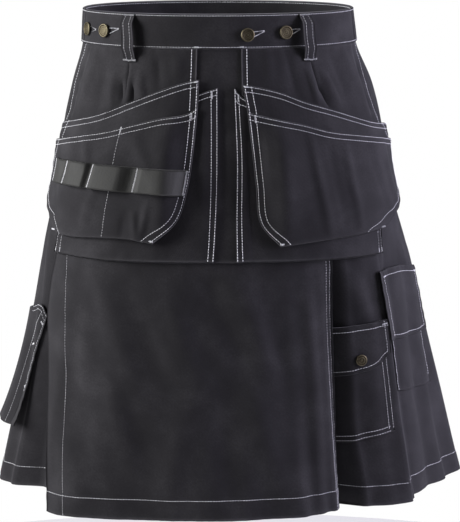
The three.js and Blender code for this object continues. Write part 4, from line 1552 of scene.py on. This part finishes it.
@dataclass
class Skirt:
    """The flat front apron, the two folded side panels and the pleated back."""

    # place down the apron's left edge, distance of its line of stitches in mm
    apron_line: tuple[tuple[float, float], ...] = (
        (0.07, 21.0), (0.29, 34.5), (0.5, 30.5), (0.73, 23.0), (0.96, 24.0))

    def apron(self) -> HemmedPanel:
        """The front apron."""
        return HemmedPanel(
            "skirt_front", Surface.APRON, UNDER_YOKE, PANEL_WALL, 92, 84,
            flat=(0.41, 0.36), area=0.1285, held="hung", top=-246.0, pucker=0.3,
            edges=((-246, -68.2, 44.8), (-300, -69.4, 44.5), (-340, -69, 44.3), (-396, -65.2, 44),
                   (-484, -58.8, 43.6), (HEM, -54.5, 42.6)),
            sewn_edges=(Edge.BOTTOM, Edge.OUTER))

    def side(self, name: str, start: float, end: float, dense: tuple[float, ...],
             flat: tuple[float, float], area: float, columns: int) -> HemmedPanel:
        """A side panel or the back, from the waistband to the hem.

        Args:
            name: Its name.
            start: Angle of its first edge.
            end: Angle of its last edge.
            dense: Angles where the cloth turns sharply.
            flat: Its cut size in metres.
            area: Its cut area in square metres.
            columns: Cells across.

        Returns:
            The panel.
        """
        return HemmedPanel(
            name, Surface.PANEL, UNDER_YOKE, PANEL_WALL, columns, 132, flat=flat,
            area=area, held="hung", top=BELOW_BAND, pucker=0.25,
            edges=((BELOW_BAND, start, end), (HEM, start, end)), dense=dense)

    def build(self, kit: Finishes) -> None:
        """Makes the four panels with their seams and hems.

        Args:
            kit: The materials.
        """
        sewing = Sewing("stitches_skirt")
        apron = self.apron()
        apron.build(kit.canvas)
        down, inset = np.array(self.apron_line).T
        sewing.edge(apron, Edge.INNER, lambda t: np.interp(t, down, inset), 0.07, 1.0)
        sewing.edge(apron, Edge.OUTER, 2.6, 0.07, 1.0)
        sewing.edge(apron, Edge.OUTER, 6.7, 0.07, 1.0)
        sewing.edge(apron, Edge.BOTTOM, HEM_TURN)
        right = self.side("side_panel_right", -BACK_SEAM, -52.0, (-81.0, -75.0, -69.0, -62.0),
                          (0.31, 0.557), 0.146, 72)
        left = self.side("side_panel_left", 33.0, BACK_SEAM, (44.5, 50.0, 60.0, 62.5, 66.0),
                         (0.40, 0.557), 0.204, 84)
        pleats = tuple(FORM.pleat_first + FORM.pleat_pitch * i for i in range(FORM.pleat_count))
        back = self.side("back_panel", BACK_SEAM, 360.0 - BACK_SEAM, pleats, (0.62, 0.557), 0.27, 120)
        for panel in (right, left, back):
            panel.build(kit.canvas)
            sewing.edge(panel, Edge.BOTTOM, HEM_TURN)
        for panel, edge in ((right, Edge.INNER), (left, Edge.OUTER)):
            for inset in (1.6, 7.6):
                sewing.edge(panel, edge, inset)
        for deg in pleats:
            for shift in (-4.4, 4.4):
                sewing.on_surface(Surface.PANEL, ((deg + shift, -22.0), (deg + shift, -140.0)), -0.48)
        sewing.build(kit.thread)


@dataclass
class FlapPiece(PatchPiece):
    """A flap that stands a little proud of its pocket away from its hinge edge."""

    def lift(self, deg: np.ndarray, z: np.ndarray, u: np.ndarray, v: np.ndarray) -> np.ndarray:
        """Follows the swell of the pocket under it, with a soft roll near its hem."""
        rise = 1.5 * np.sin(np.pi * np.minimum(0.5, np.asarray(u) * 1.1))
        return rise + 0.5 * np.sin(np.pi * np.clip(v, 0, 1)) - 0.9 * ease((0.06 - v) / 0.06)


@dataclass
class RulerPocketPiece(PatchPiece):
    """The ruler pocket, which hangs free toward its foot."""

    def lift(self, deg: np.ndarray, z: np.ndarray, u: np.ndarray, v: np.ndarray) -> np.ndarray:
        """Swings out as it goes down."""
        return 12.0 * np.clip(v, 0, 1) ** 2.4 + 0.8 * np.sin(np.pi * u)


@dataclass
class SkirtPockets:
    """The cargo and phone pockets on the left and the ruler pocket on the right."""

    def build(self, kit: Finishes) -> None:
        """Makes the pockets, their flaps and their stitching.

        Args:
            kit: The materials.
        """
        sewing = Sewing("stitches_skirt_pockets")
        cargo = PatchPiece(
            "cargo_pocket", Surface.PANEL, ON_SKIRT, POCKET_WALL, 34, 44,
            flat=(0.092, 0.141), area=0.0126, held="laid", swell=1.5,
            top=((42.2, -362), (52, -360), (58.4, -357)), inner=((42.2, -362), (42, -430), (41.6, -503)),
            outer=((58.4, -357), (58.6, -425), (58.4, -487)),
            bottom=((41.6, -503), (50, -496), (58.4, -487)))
        cargo_flap = FlapPiece(
            "cargo_flap", Surface.PANEL, ON_SKIRT_POCKET, POCKET_WALL,
            34, 26, flat=(0.091, 0.070), area=0.00513, held="laid",
            top=((43.4, -359), (50, -354.5), (59.6, -350)), inner=((43.4, -359), (43.2, -420)),
            outer=((59.6, -350), (59.4, -390)),
            bottom=((43.2, -420), (49, -413.5), (54, -408), (59.4, -390)))
        phone = PatchPiece(
            "phone_pocket", Surface.PANEL, ON_SKIRT, POCKET_WALL, 36, 44,
            flat=(0.102, 0.139), area=0.0134, held="laid", swell=1.5,
            top=((62.8, -312), (73, -314), (84, -319)), inner=((62.8, -312), (62.6, -380), (62, -441)),
            outer=((84, -319), (84.4, -390), (83.8, -453)), bottom=((62, -441), (73, -449), (83.8, -453)))
        phone_flap = FlapPiece(
            "phone_flap", Surface.PANEL, ON_SKIRT_POCKET, POCKET_WALL,
            38, 34, flat=(0.122, 0.091), area=0.0102, held="laid",
            top=((59.8, -292), (72, -293), (85.2, -303)), inner=((59.8, -292), (60, -376)),
            outer=((85.2, -303), (86, -385)), bottom=((60, -376), (73, -382), (86, -385)))
        ruler = RulerPocketPiece(
            "ruler_pocket", Surface.PANEL, ON_SKIRT + 0.5, PANEL_WALL, 28, 52,
            flat=(0.080, 0.152), area=0.01135, held="hung",
            top=((-78, -357), (-79.8, -345), (-86, -353), (-94, -369)),
            inner=((-78, -357), (-80, -411), (-80.5, -502)),
            outer=((-94, -369), (-95, -430), (-95.5, -494)),
            bottom=((-80.5, -502), (-88, -500), (-95.5, -494)))
        for piece in (cargo, cargo_flap, phone, phone_flap, ruler):
            piece.build(kit.canvas)
        for inset in (1.4, 7.0):
            sewing.edge(cargo, Edge.OUTER, inset, 0.28, 0.97)
            sewing.edge(cargo, Edge.BOTTOM, inset, 0.0, 0.95)
        sewing.edge(cargo_flap, Edge.TOP, 6.5)
        sewing.edge(cargo_flap, Edge.OUTER, 5.0, 0.0, 0.88)
        sewing.edge(cargo_flap, Edge.BOTTOM, 4.6, 0.0, 0.94)
        sewing.bartack(cargo_flap, (0.90, 0.10), (0.985, 0.10), 1.8)
        sewing.edge(phone_flap, Edge.TOP, 7.5, 0.03, 0.98)
        sewing.edge(phone_flap, Edge.INNER, 3.4, 0.08, 0.95)
        sewing.edge(phone_flap, Edge.OUTER, 5.0, 0.08, 0.95)
        sewing.edge(phone_flap, Edge.BOTTOM, 4.4, 0.03, 0.95)
        sewing.bartack(phone_flap, (0.02, 0.085), (0.09, 0.085), 1.8)
        sewing.bartack(phone_flap, (0.92, 0.085), (0.99, 0.085), 1.8)
        sewing.edge(phone, Edge.INNER, 1.8, 0.5, 1.0)
        sewing.edge(phone, Edge.OUTER, 3.0, 0.5, 0.93)
        for inset in (1.5, 6.5):
            sewing.edge(ruler, Edge.TOP, inset, 0.0, 0.45)
        sewing.edge(ruler, Edge.INNER, lambda t: np.interp(t, (0.0, 0.35, 1.0), (10.0, 19.0, 23.0)),
                    0.03, 0.99)
        sewing.edge(ruler, Edge.INNER, 2.0, 0.06, 0.70)
        sewing.bartack(ruler, (0.10, 0.30), (0.22, 0.34), 2.4)
        sewing.bartack(ruler, (0.02, 0.66), (0.08, 0.66), 2.4)
        sewing.bartack(ruler, (0.02, 0.10), (0.10, 0.10), 2.4)
        sewing.build(kit.thread)


@dataclass
class LoopStrap(ClothPiece):
    """A belt loop, tacked at both ends and standing off between."""

    deg: float = 0.0
    width: float = 13.0
    stand_off: float = 7.8
    lean: float = 0.0
    top: float = 19.0
    bottom: float = -37.0

    def outline(self, u: np.ndarray, v: np.ndarray) -> tuple[np.ndarray, np.ndarray]:
        """A straight strap of one width."""
        z = self.top + (self.bottom - self.top) * np.asarray(v, float)
        half = np.degrees(self.width / 2.0 / FORM.body_radius(np.array(self.deg), z))
        middle = self.deg + self.lean * (np.asarray(v) - 0.5)
        return middle + (2.0 * np.asarray(u) - 1.0) * half, z + 0 * u

    def lift(self, deg: np.ndarray, z: np.ndarray, u: np.ndarray, v: np.ndarray) -> np.ndarray:
        """Rises from its upper tack, and falls to the layer under its lower one."""
        under = 0.0 if self.deg > 80 else ON_YOKE + POCKET_WALL - 1.6
        rise = self.stand_off * ease(np.asarray(v) / 0.22) * ease((1.0 - v) / 0.3)
        return rise + under * ease((v - 0.5) / 0.25) + 0.3 * (1 - (2 * u - 1) ** 2)


@dataclass
class BeltLoops:
    """The five belt loops."""

    places: tuple[tuple[str, float], ...] = (
        ("belt_loop_front_right", -48.4), ("belt_loop_front_left", 46.6), ("belt_loop_side_left", 112.0),
        ("belt_loop_centre_back", 180.0), ("belt_loop_side_right", 248.0))

    def build(self, kit: Finishes) -> None:
        """Makes the loops with two lines of stitches and a bartack at each end.

        Args:
            kit: The materials.
        """
        sewing = Sewing("stitches_belt_loops")
        for name, deg in self.places:
            loop = LoopStrap(name, Surface.BODY, 2.1, 1.6, 10, 44, flat=(0.0145, 0.068),
                             held="stretched", pucker=0.0, deg=deg,
                             lean=2.8 if deg < 0 else 0.0)
            loop.build(kit.canvas)
            for edge in (Edge.INNER, Edge.OUTER):
                sewing.edge(loop, edge, 3.4, 0.03, 0.97)
            sewing.bartack(loop, (0.0, 0.022), (1.0, 0.022), 2.4)
            sewing.bartack(loop, (-0.12, 0.975), (1.12, 0.975), 2.2)
        sewing.build(kit.thread)


@dataclass
class MetalRound:
    """A turned metal piece standing on the cloth: a profile of radius and height."""

    name: str
    surface: Surface
    deg: float
    z: float
    offset: float
    profile: tuple[tuple[float, float, float], ...]
    sides: int = 48

    def build(self, material: bpy.types.Material) -> None:
        """Turns the profile about its own axis; the third column is the rub of a ring.

        Args:
            material: The metal.
        """
        rows = np.array(self.profile, float)
        foot = FORM.place(self.surface, np.array(self.deg), np.array(self.z), np.array(self.offset))
        head = FORM.place(self.surface, np.array(self.deg), np.array(self.z), np.array(self.offset + 10.0))
        axis = (head - foot) / np.linalg.norm(head - foot)
        side = np.cross([0.0, 0.0, 1.0], axis)
        side /= np.linalg.norm(side)
        up = np.cross(axis, side)
        turn = np.linspace(0, 2 * np.pi, self.sides, endpoint=False)
        ring = np.cos(turn)[:, None] * side + np.sin(turn)[:, None] * up
        body = foot + rows[1:-1, 0][:, None, None] * ring[None] + rows[1:-1, 1][:, None, None] * axis
        points = np.concatenate([[foot + rows[0, 1] * axis], body.reshape(-1, 3),
                                 [foot + rows[-1, 1] * axis]])
        count, n = len(rows) - 2, self.sides
        i, j = np.meshgrid(np.arange(count - 1), np.arange(n), indexing="ij")
        a, b = 1 + i * n + j, 1 + i * n + (j + 1) % n
        quads = np.stack([a, b, b + n, a + n], -1).reshape(-1, 4)
        k = np.arange(n)
        low = np.stack([np.zeros(n, int), 1 + (k + 1) % n, 1 + k], -1)
        last = len(points) - 1
        start = 1 + (count - 1) * n
        high = np.stack([np.full(n, last), start + k, start + (k + 1) % n], -1)
        triangles = np.concatenate([quads[:, [0, 1, 2]], quads[:, [0, 2, 3]], low, high])
        wear = np.concatenate([[rows[0, 2]], np.repeat(rows[1:-1, 2], n), [rows[-1, 2]]])
        piece = add_object(f"{self.name}_brass", points, triangles, material, wear=wear)
        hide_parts(self.name)


@dataclass
class Fastenings:
    """Four waist buttons and the press stud of the cargo flap, stamped with plain rings."""

    # radius, height and rub of the rings, from the shank outward and over the face
    button: tuple[tuple[float, float, float], ...] = (
        (0.0, 0.0, 0.0), (4.6, 0.0, 0.0), (5.0, 1.0, 0.0), (7.6, 1.25, 0.1), (8.15, 1.6, 0.4),
        (8.2, 2.1, 0.7), (8.0, 2.7, 1.0), (7.5, 3.1, 1.0), (6.9, 3.25, 0.9), (6.4, 3.05, 0.2),
        (6.0, 2.6, 0.0), (5.6, 2.45, 0.0), (5.2, 2.7, 0.5), (4.8, 2.8, 0.8), (4.4, 2.65, 0.2),
        (4.0, 2.45, 0.0), (3.4, 2.5, 0.3), (2.8, 2.75, 0.8), (2.2, 2.7, 0.4), (1.6, 2.5, 0.0),
        (1.0, 2.7, 0.6), (0.5, 2.85, 0.8), (0.0, 2.85, 0.8))
    stud: tuple[tuple[float, float, float], ...] = (
        (0.0, 0.0, 0.0), (5.0, 0.0, 0.0), (6.4, 0.5, 0.1), (7.0, 1.1, 0.5), (6.9, 1.8, 0.9),
        (6.3, 2.3, 0.9), (5.6, 2.35, 0.3), (5.1, 2.1, 0.0), (4.6, 2.15, 0.2), (4.0, 2.4, 0.7),
        (3.2, 2.5, 0.5), (2.5, 2.3, 0.0), (1.6, 2.35, 0.4), (0.8, 2.5, 0.7), (0.0, 2.5, 0.7))

    def build(self, kit: Finishes) -> None:
        """Makes the five metal pieces.

        Args:
            kit: The materials.
        """
        for name, deg, z in (("button_right_outer", -75.0, -2.2), ("button_right_inner", -62.9, -2.0),
                             ("button_left_inner", 15.5, -4.0), ("button_left_outer", 36.2, -2.0)):
            MetalRound(name, Surface.BODY, deg, z, 2.1, self.button).build(kit.brass)
        height = ON_SKIRT + 2 * POCKET_WALL + LAYER + 0.4 + 1.5 + 0.55
        MetalRound("cargo_snap", Surface.PANEL, 51.8, -396.0, height, self.stud).build(kit.brass)


@dataclass(frozen=True)
class Studio:
    """Camera, lights and floor. The camera stands as the photograph's does."""

    camera_at: tuple[float, float, float] = (-0.0895, -2.42775, 0.20015)
    camera_to: tuple[float, float, float] = (0.0165, 0.0, -0.300)
    lens: float = 134.9
    floor_z: float = -1.15
    floor_radius: float = 1.5

    def aim(self, obj: bpy.types.Object, target: tuple[float, float, float]) -> None:
        """Turns an object's -Z axis to a place, with Z up.

        Args:
            obj: The camera or light.
            target: What it looks at.
        """
        way = np.array(target) - np.array(obj.location)
        way /= np.linalg.norm(way)
        obj.rotation_euler = (np.arccos(-way[2]), 0.0, np.arctan2(-way[0], way[1]))

    def softbox(self, name: str, at: tuple[float, float, float], size: tuple[float, float],
                power: float, tint: str) -> None:
        """Adds a rectangular area light aimed at the garment.

        Args:
            name: Its name.
            at: Its place in metres.
            size: Width and height in metres.
            power: Watts.
            tint: Its colour.
        """
        lamp = bpy.data.lights.new(name, "AREA")
        lamp.shape, lamp.size, lamp.size_y = "RECTANGLE", size[0], size[1]
        lamp.energy, lamp.color = power, hex_linear(tint)[:3]
        obj = bpy.data.objects.new(name, lamp)
        bpy.context.scene.collection.objects.link(obj)
        obj.location = at
        self.aim(obj, (0.0, 0.0, -0.28))

    def build(self) -> None:
        """Makes the camera, three soft lights, the white surround and the floor."""
        scene = bpy.context.scene
        lens = bpy.data.cameras.new("camera")
        lens.lens, lens.sensor_width, lens.sensor_fit = self.lens, 36.0, "AUTO"
        camera = bpy.data.objects.new("camera", lens)
        scene.collection.objects.link(camera)
        camera.location = self.camera_at
        self.aim(camera, self.camera_to)
        scene.camera = camera
        self.softbox("key_left", (-2.1, -0.40, 0.45), (0.8, 1.5), 112.0, "ffffff")
        self.softbox("key_right", (2.1, -0.40, 0.25), (0.8, 1.5), 92.0, "eeeaff")
        self.softbox("top", (0.1, -0.5, 2.0), (1.2, 0.8), 7.0, "ffffff")
        self.surround(scene)
        turn = np.linspace(0, 2 * np.pi, 96, endpoint=False)
        disc = np.stack([np.cos(turn), np.sin(turn), np.zeros(96)], -1) * self.floor_radius
        disc[:, 2] = self.floor_z
        mesh = bpy.data.meshes.new("floor")
        mesh.from_pydata(disc.tolist(), [], [list(range(96))])
        mesh.materials.append(StudioPaper().build())
        floor = bpy.data.objects.new("floor", mesh)
        scene.collection.objects.link(floor)

    @staticmethod
    def surround(scene: bpy.types.Scene) -> None:
        """White to the eye and a soft grey dome to the cloth.

        Args:
            scene: The scene.
        """
        world = bpy.data.worlds.new("surround")
        world.use_nodes = True
        scene.world = world
        tree = world.node_tree
        tree.nodes.clear()
        seen = add_node(tree, "ShaderNodeLightPath").outputs["Is Camera Ray"]
        level = add_node(tree, "ShaderNodeMapRange", Value=seen, To_Min=0.135, To_Max=1.0)
        white = add_node(tree, "ShaderNodeBackground", Color=(1.0, 1.0, 1.0, 1.0),
                         Strength=level.outputs["Result"])
        out = add_node(tree, "ShaderNodeOutputWorld")
        tree.links.new(white.outputs["Background"], out.inputs["Surface"])
        scene.view_settings.view_transform = "Standard"


def main() -> None:
    """Builds the garment in order."""
    logging.basicConfig(level=logging.INFO, format="%(name)s: %(message)s")
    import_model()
    Studio().build()
    kit = Finishes(CanvasTwill().build(), CoreSpunThread().build(), RibbedWebbing().build(),
                   AntiqueBrass().build())
    for part in (Waistband(), FrontYoke(), Holster.right(), Holster.left(), Webbing(), Skirt(),
                 SkirtPockets(), BeltLoops(), Fastenings()):
        part.build(kit)
        LOG.info("%s is built", type(part).__name__)
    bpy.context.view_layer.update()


if __name__ == "__main__":
    main()
